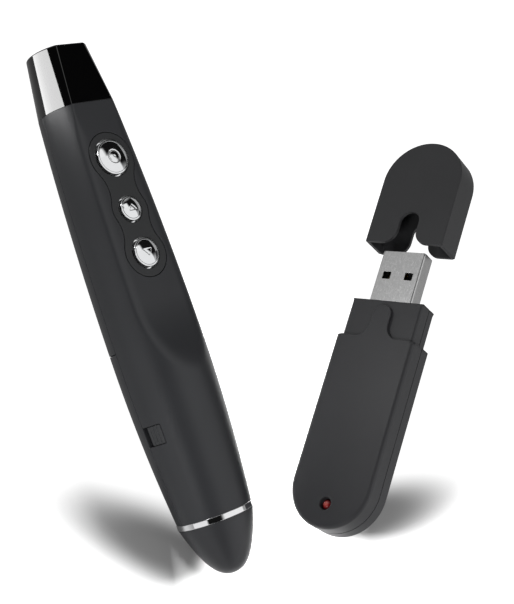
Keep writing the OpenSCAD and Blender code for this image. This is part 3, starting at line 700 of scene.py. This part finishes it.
def stroke_dist(x, y, lines):
    best = np.full(np.shape(x), 9.0)
    for ln in lines:
        for (ax, ay), (bx, by) in zip(ln[:-1], ln[1:]):
            dx, dy = bx - ax, by - ay
            t = ((x - ax) * dx + (y - ay) * dy) / max(dx * dx + dy * dy, TINY)
            t = np.clip(t, 0, 1)
            best = np.minimum(best, np.hypot(x - ax - t * dx, y - ay - t * dy))
    return best


def dome(r, mark, scale):
    """Button top: a shallow dome with a plain mark pressed into it."""
    lines = [[(x * scale, y * scale) for x, y in ln] for ln in strokes(mark)]
    big = (r * r + DOME_H * DOME_H) / (2 * DOME_H)

    def height(x, y):
        z = PROUD + DOME_H - big + np.sqrt(np.clip(big * big - x * x - y * y, 0.01, None))
        return z - MARK_DEEP * (1 - smooth(0.06, 0.26, stroke_dist(x, y, lines)))

    def form(x, y):
        x, y = np.asarray(x, float), np.asarray(y, float)
        e = 0.015
        slope_x = (height(x + e, y) - height(x - e, y)) / (2 * e)
        slope_y = (height(x, y + e) - height(x, y - e)) / (2 * e)
        return (np.stack([x, y, height(x, y)], -1),
                unit(np.stack([-slope_x, -slope_y, 1 + 0 * x], -1)))
    return form


for (dist, r), name, node, body, mark, k in (
        (BUTTONS[0], "laser_key_top", "laser_button", "laser_key", "ring", 1.15),
        (BUTTONS[1], "page_up_key_top", "page_up_button", "page_up_key", "up", 0.85),
        (BUTTONS[2], "page_down_key_top", "page_down_button", "page_down_key", "down", 1.0)):
    s = Shape()
    rim, z = r - RIM, PROUD + 0.05
    skin(s, dome(r, mark, k), [{"p": circle(0, 0, rim, 96)[::-1], "b": 0.05, "d": 0.3}],
         (0.14, 0.14))
    spun(s, profile([
        (rim + 0.02, z - 0.12, 0), (rim + 0.02, z + 0.14, 0.07), (r, z + 0.06, 0.13),
        (r, FLANGE_Z0, 0), (r + FLANGE_OUT, FLANGE_Z0, 0.08), (r + FLANGE_OUT, FLANGE_Z1, 0.08),
        (POST_R, FLANGE_Z1, 0), (POST_R, FLANGE_Z1 - POST_L, 0.1),
        (0.01, FLANGE_Z1 - POST_L, 0)]), 96, axis="z")
    s.build(name, face_frame(dist), body, mat_chrome, node)

# ---------------------------------------------------------------- switch knob
GROOVE_DEEP, GROOVE_PITCH, GROOVE_MID = 0.10, 0.95, 0.665
KNOB_BACK, KNOB_FRONT, KNOB_HALF, KNOB_ROUND = 1.25, 2.58, 2.18, 0.25


def knob_r(th, y):
    """The barrel's curve with three grip grooves."""
    x = (th - SWITCH_DEG * D2R) * SWITCH_R
    cut = 0
    for k in (-1, 0, 1):
        off_mid = np.abs(x - GROOVE_MID - k * GROOVE_PITCH)
        cut = cut + GROOVE_DEEP * (1 - smooth(0.05, 0.20, off_mid))
    return barrel_r(y) - 0.02 - cut


def knob_outline():
    u0 = U * (SWITCH_DEG * D2R - KNOB_BACK / SWITCH_R) + KNOB_ROUND
    u1 = U * (SWITCH_DEG * D2R + KNOB_FRONT / SWITCH_R) - KNOB_ROUND
    y0, y1 = SWITCH_Y - KNOB_HALF + KNOB_ROUND, SWITCH_Y + KNOB_HALF - KNOB_ROUND
    corners = ((u1, y1, 0), (u0, y1, 90), (u0, y0, 180), (u1, y0, 270))
    return dense([p for u, y, a in corners for p in arc(u, y, KNOB_ROUND, a, a + 90, 4)], 0.3)


s = Shape()
skin(s, rolled(knob_r), [{"p": knob_outline(), "b": 0.12, "d": 1.0}], (0.09, 0.3))
keep_inside(s, PEN, "switch_knob", lambda p, d: (d < 0.8).all(1), pen_depth)
s.build("slide_knob", PEN, "switch", mat_knob, "switch_knob")

# ---------------------------------------------------------------- end cap, ring and nose
CAP_SKIN = rolled(cap_r)
CAP_EDGE, CAP_SEAM_EDGE = 0.34, 0.07   # rounding at the end and at the seam
LASER_Z, LASER_R = -2.0, 1.6           # the opening for the beam


def cap_side(shape):
    """The cap's side with its two rounded edges. Returns the end's outline."""
    th = np.linspace(-math.pi, math.pi, 361)[:-1]
    rows = [(SEAM + CAP_SEAM_EDGE * (1 - math.sin(f)), CAP_SEAM_EDGE * (1 - math.cos(f)),
             -math.sin(f)) for f in np.linspace(QUARTER, 0, 4)]
    rows += [(y, 0.0, 0.0) for y in np.linspace(SEAM + 0.6, LEN - CAP_EDGE - 0.5, 16)]
    rows += [(LEN - CAP_EDGE * (1 - math.sin(f)), CAP_EDGE * (1 - math.cos(f)), math.sin(f))
             for f in np.linspace(0, QUARTER, 7)]
    P, N = [], []
    for y, drawn_in, lean in rows:
        p, n = CAP_SKIN(U * th, np.full_like(th, y))
        P.append(p - n * [1, 0, 1] * drawn_in)
        N.append(unit(n * math.sqrt(max(0.0, 1 - lean * lean)) + np.array([0, lean, 0])))
    grid(shape, np.array(P), np.array(N), wrap=True)
    return P[-1][:, [0, 2]]


def end_plane(u, v):
    u, v = np.asarray(u, float), np.asarray(v, float)
    return (np.stack([u, np.full_like(u, LEN), v], -1),
            np.stack([0 * u, 1 + 0 * u, 0 * u], -1))


def cap_depth(co):
    th, r = polar(co)
    return cap_r(th, co[:, 1]) - r


def cap_lift(co):
    th, r = polar(co)
    clear = np.minimum(r, cap_r(th, np.maximum(co[:, 1], SEAM)) - 0.4)
    r = np.where(co[:, 1] > SEAM - 0.01, clear, r)
    return np.stack([r * np.sin(th), co[:, 1], r * np.cos(th)], 1)


def cap_drop(p, d):
    y = p[:, :, 1]
    return ((d < SURFACE) & (y > SEAM - 0.01)).all(1) | (y > LEN - 0.05).all(1)


s = Shape()
rim = cap_side(s)
area = (rim[:, 0] * np.roll(rim[:, 1], -1) - np.roll(rim[:, 0], -1) * rim[:, 1]).sum()
skin(s, end_plane, [{"p": rim if area > 0 else rim[::-1], "b": 0.0, "d": 0.0},
                    {"p": circle(0, LASER_Z, LASER_R, 48), "b": 0.22, "d": 1.6}], (0.8, 0.8))
keep_inside(s, PEN, "end_cap", cap_drop, cap_depth, cap_lift)
s.build("gloss_end", PEN, "handset", mat_gloss, "end_cap")

s = Shape()
spun(s, profile([(7.25, BODY, 0), (9.09, BODY, 0.14), (9.09, NOSE, 0.14), (7.25, NOSE, 0)]), 160)
spun(s, [(7.3, NOSE, -1, 0), (7.3, BODY, -1, 0)], 96)
s.build("bright_ring", PEN, "handset", mat_ring, "nose_ring")


def nose_rows(steps=46, stub_r=7.2, stub_y=15.1, edge=0.12):
    """The stub inside the ring, the rounded edge and the curve down to the tip."""
    rows = [(stub_r, stub_y, 0, 1), (stub_r, stub_y, 1, 0), (stub_r, NOSE, 1, 0),
            (stub_r, NOSE, 0, 1)]
    for f in np.linspace(0, QUARTER, 5):
        rows.append((NOSE_R - edge * (1 - math.sin(f)), NOSE - edge * (1 - math.cos(f)),
                     math.sin(f), math.cos(f)))
    for i in range(steps - 1, 0, -1):
        y = (NOSE - 0.2) * (i / steps) ** 2
        r = NOSE_R * (y / NOSE) ** NOSE_POW
        slope = NOSE_POW * r / y
        ln = math.hypot(1, slope)
        rows.append((r, y, 1 / ln, -slope / ln))
    return rows + [(0.0001, 0.0, 0, -1)]


s = Shape()
spun(s, nose_rows(), 160)
s.build("tip", PEN, "handset", mat_nose, "nose")

# ---------------------------------------------------------------- receiver
ROUND_SIDE = HALF_W - 0.01             # beyond this, a point is on the straight side


def tongue_side(g):
    """Right side of the notch, or of the tongue drawn in by g, from the flare's foot to
    the middle of its round top."""
    r, flare = NOTCH_R - g, FLARE_R + g
    low = 180 + math.degrees(math.asin(min(1.0, FLARE_R / flare)))
    return (arc(r + flare, FLARE_R, flare, low, 180, 14)
            + arc(0, NOTCH_TOP - NOTCH_R, r, 0, 90, 12))


def body_loop():
    """The receiver's face: the tongue at the neck's foot, and the round end."""
    t = [(x, y - NECK_L) for x, y in tongue_side(NOTCH_GAP)]
    return dense([(HALF_W, -NECK_L)] + t + mirrored(t)[1:] + [(-HALF_W, -NECK_L)]
                 + arc(0, END_Y, HALF_W, 180, 360, 90), 0.5)


def is_side(lp):
    return (np.abs(lp[:, 0]) > ROUND_SIDE) | (lp[:, 1] < END_Y + 0.01)


def neck_edge(nk):
    """Rounding along the neck: fuller on its long sides than at its end."""
    y = nk[:, 1]
    b = np.where(y > -0.75, 0.3 + 0.45 * smooth(0, 0.75, -y), 0.75)
    return np.where(np.abs(nk[:, 0]) > NECK_HALF_W - 0.01, b, 0.3)


for name, node, up, edge, seam in (("unit_front", "receiver_front", 1, 1.0, -0.34),
                                   ("unit_back", "receiver_back", -1, BACK_ROUND, -0.52)):
    s = Shape()
    z = up * HALF_T
    lp = body_loop()
    side = is_side(lp)
    corner = side & (lp[:, 1] > -NECK_L - 0.001)
    # points where the side's wide rounding meets the narrow one are left out
    lp = lp[corner | np.where(side, lp[:, 1] < -NECK_L - edge, np.abs(lp[:, 0]) < HALF_W - edge)]
    loops = [{"p": lp, "b": np.where(is_side(lp), edge, 0.2), "d": abs(z - seam), "t": 0.13}]
    if up > 0:
        loops.append({"p": circle(0, LENS_Y, LENS_HOLE_R, 64), "b": 0.2, "d": 2.0})
    skin(s, level(z, up), loops, (1.1, 1.1), arcs=6)
    z = up * NECK_HALF_T
    neck = dense([(NECK_HALF_W, -11.5), (NECK_HALF_W, 0), (-NECK_HALF_W, 0),
                  (-NECK_HALF_W, -11.5)], 0.5)
    skin(s, level(z, up), [{"p": neck, "b": neck_edge(neck), "d": abs(z - seam), "t": 0.1}],
         (1.0, 1.0), arcs=5)
    s.build(name, UNIT, "receiver", mat_unit, node)

s = Shape()
lens_top = HALF_T - 0.35
spun(s, [(LENS_R * math.sin(x) + 1e-4, lens_top - 1.45 + LENS_R * math.cos(x),
          math.sin(x), math.cos(x)) for x in np.linspace(0, 88, 20) * D2R]
     + [(LENS_R, -0.6, 1, 0)], 64, axis_at=(0, LENS_Y, 0), axis="z")
s.build("lamp", UNIT, "receiver", lamp_material(world(UNIT, np.array([0, LENS_Y, lens_top]))),
        "lamp_lens")

# Cap, drawn off: two faces with the notch, the sides between them, and the CAD's hollow
CAP_WALL = 0.92
HOLLOW_HALF_W = 10.06                  # the hollow's side walls start here


def cap_loop():
    t = tongue_side(0.0)
    lip = [(HOLLOW_HALF_W - 0.02, 0), (HOLLOW_HALF_W + 0.03, 0), (HALF_W, 0)]
    lp = dense(mirrored(lip) + [(-x, y) for x, y in t] + t[::-1][1:] + lip
               + arc(0, CAP_L - HALF_W, HALF_W, 0, 180, 90), 0.5)
    return lp + [0, CAP_Y]


def is_mouth(lp):
    return (lp[:, 1] < CAP_Y + 17.4) & (np.abs(lp[:, 0]) < ROUND_SIDE)


def outside_hollow(p, d):
    x, y, z = (p[:, :, i] for i in range(3))
    along = (y < CAP_Y + 14.5) | (np.hypot(x, y - (CAP_Y + 14.44)) < 10.4)
    return ~((np.abs(x) < 10.1) & (np.abs(z) < 3.5) & along).all(1)


s = Shape()
lp = cap_loop()
mouth = is_mouth(lp)
corner = (lp[:, 1] < CAP_Y + 0.001) & (np.abs(lp[:, 0]) > ROUND_SIDE)
for up, edge in ((1, 0.35), (-1, BACK_ROUND)):
    q = lp[corner | np.where(mouth, np.abs(lp[:, 0]) < HALF_W - edge, lp[:, 1] > CAP_Y + edge)]
    thin = is_mouth(q) & (np.abs(q[:, 0]) < HOLLOW_HALF_W)
    skin(s, level(up * HALF_T, up), [{"p": q, "b": np.where(is_mouth(q), 0.13, edge),
                                      "d": np.where(thin, CAP_WALL, HALF_T + 0.01)}],
         (1.1, 1.1), arcs=5)
keep_inside(s, UNIT, "receiver_cap", outside_hollow)
s.build("pull_off_cap", UNIT, "cap", mat_unit_cap, "receiver_cap")

# ---------------------------------------------------------------- plug
HOLE_X0, HOLE_X1, HOLE_Y1, HOLE_L, HOLE_ROUND = 2.02, 4.22, PLUG_L - 5.66, 1.96, 0.16
FOLD_X, FOLD_Z = PLUG_HALF_W - PLUG_FOLD, PLUG_HALF_T - PLUG_FOLD
INNER_X, INNER_Z = PLUG_HALF_W - SHEET, PLUG_HALF_T - SHEET


def plug_hole(x0, x1):
    y0, y1, c = HOLE_Y1 - HOLE_L, HOLE_Y1, HOLE_ROUND
    corners = ((x1 - c, y1 - c, 90), (x1 - c, y0 + c, 0), (x0 + c, y0 + c, -90),
               (x0 + c, y1 - c, 180))
    return dense([p for x, y, a in corners for p in arc(x, y, c, a, a - 90, 4)], 0.3)


def plug_side(sx):
    """Section of a side with its two rounded folds: rows of x, z and their normal."""
    fold = [(sx * (FOLD_X + PLUG_FOLD * math.sin(a)), FOLD_Z + PLUG_FOLD * math.cos(a),
             sx * math.sin(a), math.cos(a)) for a in np.linspace(0, QUARTER, 9)]
    flat = [(sx * PLUG_HALF_W, z, sx, 0) for z in np.linspace(1.4, -1.4, 5)]
    return np.array(fold + flat + [(x, -z, nx, -nz) for x, z, nx, nz in fold[::-1]])


s = Shape()
for up in (1, -1):
    rect = dense([(FOLD_X, PLUG_ROOT), (FOLD_X, PLUG_L), (-FOLD_X, PLUG_L),
                  (-FOLD_X, PLUG_ROOT)], 0.6)
    end = rect[:, 1] > PLUG_L - 1e-6
    loops = [{"p": rect, "b": np.where(end, 0.1, 0.0), "d": np.where(end, SHEET, 0.0), "on": end}]
    for x0, x1 in ((HOLE_X0, HOLE_X1), (-HOLE_X1, -HOLE_X0)):
        loops.append({"p": plug_hole(x0, x1), "b": 0.07, "d": SHEET})
    skin(s, level(up * PLUG_HALF_T, up), loops, (0.6, 0.6))
for sx in (1, -1):
    sec = plug_side(sx)
    rows, norm = [], []
    for y, drawn_in, lean in ((PLUG_ROOT, 0, 0), (PLUG_L - 0.6, 0, 0), (PLUG_L - 0.1, 0, 0),
                              (PLUG_L - 0.03, 0.03, 0.7), (PLUG_L, 0.1, 1.0),
                              (PLUG_L, SHEET, 1.0)):
        ends = np.full(len(sec), y)
        rows.append(np.stack([sec[:, 0] - sec[:, 2] * drawn_in, ends,
                              sec[:, 1] - sec[:, 3] * drawn_in], 1))
        norm.append(unit(np.stack([sec[:, 2] * (1 - lean), np.full(len(sec), lean),
                                   sec[:, 3] * (1 - lean)], 1)))
    grid(s, np.array(rows), np.array(norm), flip=sx < 0)
# the sheet's inner sides; its inner faces with the holes are the CAD's
for sx in (1, -1):
    s.add([(sx * INNER_X, PLUG_ROOT, sx * INNER_Z), (sx * INNER_X, PLUG_ROOT, -sx * INNER_Z),
           (sx * INNER_X, PLUG_L - 0.02, -sx * INNER_Z),
           (sx * INNER_X, PLUG_L - 0.02, sx * INNER_Z)], [(-sx, 0, 0)] * 4, [(0, 1, 2, 3)])


def not_inner_face(p, d):
    z = np.abs(p[:, :, 2])
    return ~((z < INNER_Z + 0.02).all(1) & (z > INNER_Z - 0.03).all(1))


keep_inside(s, UNIT, "plug_shell", not_inner_face)
s.build("plug_can", UNIT, "receiver", mat_nickel, "plug_shell")

# ---------------------------------------------------------------- CAD nodes that stay
for mat, kept in (
        (mat_steel, ("switch_case", "crystal", "battery_spring", "spring_contact",
                     "button_contact")),
        (mat_board, ("circuit_board", "receiver_board")),
        (mat_chip, ("laser_tact", "page_up_tact", "page_down_tact", "radio_chip",
                    "receiver_chip", "plug_tongue")),
        (mat_brass, ("laser_module", "plug_contacts")),
        (mat_clear, ("laser_lens",)),
        (mat_cell, ("battery",))):
    for node in kept:
        me = nodes[node].data
        me.materials.clear()
        me.materials.append(mat)

# ---------------------------------------------------------------- camera
scene = bpy.context.scene
scene.view_settings.view_transform = "Standard"

# The photograph's viewpoint
CAM = (-0.072426, -0.080448, 0.280792)
RIGHT, DOWN, AHEAD = ((0.87774, 0.30127, 0.37256), (0.38032, -0.91103, -0.15933),
                      (0.29141, 0.28154, -0.91423))
FOCAL_PX, HEIGHT_PX, SENSOR = 1238.9, 604, 36
cam_data = bpy.data.cameras.new("camera")
cam = bpy.data.objects.new("camera", cam_data)
scene.collection.objects.link(cam)
cam.matrix_world = Matrix(
    [(r, -d, -a, c) for r, d, a, c in zip(RIGHT, DOWN, AHEAD, CAM)] + [(0, 0, 0, 1)])
cam_data.sensor_width = SENSOR
cam_data.lens = FOCAL_PX / HEIGHT_PX * SENSOR
cam_data.clip_start, cam_data.clip_end = 0.01, 20
scene.camera = cam

# ---------------------------------------------------------------- floor
FLOOR_HALF, FLOOR_Z = 3.0, -0.00005
# Where the floor shows its own light: centre, turn and half size of two ellipses
POOLS = (((0.016, -0.0580), -3, (0.049, 0.0130)), ((0.062, -0.0345), 34, (0.039, 0.0118)))


def floor_material():
    """Pale floor that is lifted to white, apart from two pools by the units' lower ends,
    where it shows its own light, and so their shadows. Gloss sees it dimmer."""
    m, t, sh = blank("floor")
    ray = made(t, "LightPath").outputs
    glossy = ray["Is Glossy Ray"]
    place = made(t, "TexCoord").outputs["Object"]

    def pool(centre, turned, size):
        """0 in the middle of an ellipse and 1 outside it."""
        mp = made(t, "Mapping", vector_type="TEXTURE")
        mp.inputs["Location"].default_value = (*centre, 0)
        mp.inputs["Rotation"].default_value = (0, 0, turned * D2R)
        mp.inputs["Scale"].default_value = (*size, 1)
        t.links.new(place, mp.inputs["Vector"])
        far = made(t, "VectorMath", operation="LENGTH")
        t.links.new(mp.outputs["Vector"], far.inputs[0])
        mr = made(t, "MapRange", interpolation_type="SMOOTHERSTEP")
        mr.inputs["From Min"].default_value = 0.15
        t.links.new(far.outputs["Value"], mr.inputs["Value"])
        return mr.outputs["Result"]

    grey = sums(t, "SUBTRACT", 0.62, sums(t, "MULTIPLY", glossy, 0.28))
    t.links.new(grey, sh.inputs["Base Color"])
    sh.inputs["Roughness"].default_value = 0.9
    sh.inputs["Specular IOR Level"].default_value = 0.0
    seen = sums(t, "MAXIMUM", sums(t, "MAXIMUM", ray["Is Camera Ray"], glossy),
                ray["Is Transmission Ray"])
    dimmed = sums(t, "SUBTRACT", 1.0, sums(t, "MULTIPLY", glossy, 0.75))
    glow = sums(t, "MULTIPLY", sums(t, "MULTIPLY", pool(*POOLS[0]), pool(*POOLS[1])), 0.95)
    em, add = made(t, "Emission"), made(t, "AddShader")
    t.links.new(sums(t, "MULTIPLY", sums(t, "MULTIPLY", seen, dimmed), glow),
                em.inputs["Strength"])
    t.links.new(sh.outputs[0], add.inputs[0])
    t.links.new(em.outputs[0], add.inputs[1])
    t.links.new(add.outputs[0], t.nodes["Material Output"].inputs["Surface"])
    return m


fm = bpy.data.meshes.new("floor")
fm.from_pydata([(x * FLOOR_HALF, y * FLOOR_HALF, FLOOR_Z)
                for x, y in ((-1, -1), (1, -1), (1, 1), (-1, 1))], [], [(0, 1, 2, 3)])
fm.materials.append(floor_material())
floor = bpy.data.objects.new("floor", fm)
scene.collection.objects.link(floor)

# ---------------------------------------------------------------- studio
PEN_AXES = [PEN[0][:, i] for i in range(3)]


def studio_world():
    """White where the camera sees it, a soft studio in reflections, plain light for the
    rest. phi is the angle round the handset, 0 at its front and negative to its left."""
    w = bpy.data.worlds.new("studio")
    w.use_nodes = True
    t = w.node_tree
    t.nodes.clear()
    gen = made(t, "TexCoord").outputs["Generated"]

    def dot(v):
        n = made(t, "VectorMath", operation="DOT_PRODUCT")
        t.links.new(gen, n.inputs[0])
        n.inputs[1].default_value = tuple(float(x) for x in v)
        return n.outputs["Value"]

    def step(x, a, b):
        n = made(t, "MapRange", interpolation_type="SMOOTHSTEP")
        n.inputs["From Min"].default_value, n.inputs["From Max"].default_value = a, b
        t.links.new(x, n.inputs["Value"])
        return n.outputs["Result"]

    def no(x):
        return sums(t, "SUBTRACT", 1.0, x)

    def both(first, *others):
        return sums(t, "MULTIPLY", first, both(*others)) if others else first

    across, along, front = (dot(v) for v in PEN_AXES)
    right, up = dot((1, 0, 0)), dot((0, 0, 1))
    phi = sums(t, "MULTIPLY", sums(t, "ARCTAN2", across, front), 180 / math.pi)
    # a long panel at the handset's left, dimmer towards the far end
    wide = both(step(phi, -150, -128), no(step(phi, -67, -61)))
    beside = both(step(along, 0.20, 0.26), no(step(along, 0.50, 0.58)))
    fading = sums(t, "SUBTRACT", 0.8, sums(t, "MULTIPLY", step(along, 0.5, 0.75), 0.3))
    left_panel = both(wide, no(beside), fading)
    behind = both(no(step(phi, -141, -137)), beside, 0.27)
    # a ceiling panel that stops short of the end cap, and a strip that lines the cap's edge
    slant = sums(t, "ADD", phi, sums(t, "MULTIPLY", along, 50.0))
    ceiling = both(step(phi, -24, -10), no(step(slant, 44, 52)), no(step(along, 0.24, 0.30)), 0.85)
    liner = both(step(phi, -12, 0), no(step(phi, 14, 24)), beside, 0.9)
    # panels at the right, and the far end's soft grey
    far_right = both(step(phi, 92, 104), no(step(along, 0.2, 0.3)))
    right_panel = both(step(right, 0.72, 0.88), step(up, -0.04, 0.08), 0.40)
    far_end = both(step(along, 0.62, 0.80), 0.62)
    lit = left_panel
    for x in (behind, ceiling, liner, far_right, right_panel, far_end):
        lit = sums(t, "MAXIMUM", lit, x)
    ray = made(t, "LightPath").outputs
    camera = ray["Is Camera Ray"]
    glossy = sums(t, "MAXIMUM", ray["Is Glossy Ray"], ray["Is Transmission Ray"])
    rest = no(sums(t, "MINIMUM", sums(t, "ADD", camera, glossy), 1.0))
    strength = sums(t, "ADD", sums(t, "ADD", camera,
                                   sums(t, "MULTIPLY", glossy, sums(t, "ADD", lit, 0.006))),
                    sums(t, "MULTIPLY", rest, 0.36))
    bg, out = made(t, "Background"), made(t, "OutputWorld")
    bg.inputs["Color"].default_value = (1, 1, 1, 1)
    t.links.new(strength, bg.inputs["Strength"])
    t.links.new(bg.outputs[0], out.inputs["Surface"])
    return w


def lamp(name, at, target, size, power, glossy_seen=False):
    d = bpy.data.lights.new(name, "AREA")
    d.shape = "RECTANGLE"
    d.size, d.size_y = size
    d.energy = power
    o = bpy.data.objects.new(name, d)
    scene.collection.objects.link(o)
    o.location = at
    o.rotation_mode = "QUATERNION"
    o.rotation_quaternion = (Vector(target) - Vector(at)).to_track_quat("-Z", "Y")
    o.visible_camera = False
    o.visible_glossy = glossy_seen
    return o


scene.world = studio_world()
key = lamp("key", (-0.075, -0.150, 0.150), (0.045, -0.030, 0.0), (0.06, 0.06), 0.24)
low_right = lamp("low_right", (0.150, -0.056, 0.070), (0.02, -0.056, 0.0), (0.04, 0.04), 0.055)
top = lamp("top", (0.0, 0.15, 0.55), (0.0, 0.0, 0.0), (0.5, 0.5), 0.8)
# an upright strip box at the end cap's left, seen only in its gloss
AWAY = np.array([0.770, 0.638, 0.0])
strip_at = (np.array([0.0287, -0.0585, 0.0]) + 0.136 * PEN_AXES[1] - 0.034 * AWAY
            + np.array([0, 0, 0.0235]))
strip = lamp("strip", Vector(strip_at), Vector(strip_at + AWAY), (0.027, 0.045), 0.046, True)
strip.visible_diffuse = False
# two low lamps for the floor alone, which give the shadows beside the lower ends
from_right = lamp("floor_from_right", (0.050, -0.036, 0.044), (-0.812, -0.376, -0.220),
                  (0.022, 0.022), 0.11)
from_left = lamp("floor_from_left", (0.016, -0.050, 0.038), (0.866, 0.400, -0.062),
                 (0.014, 0.014), 0.17)
for lights, state in (((key, low_right, top), "EXCLUDE"), ((from_right, from_left), "INCLUDE")):
    group = bpy.data.collections.new("lit_" + state.lower())
    group.objects.link(floor)
    group.collection_objects[0].light_linking.link_state = state
    for o in lights:
        o.light_linking.receiver_collection = group
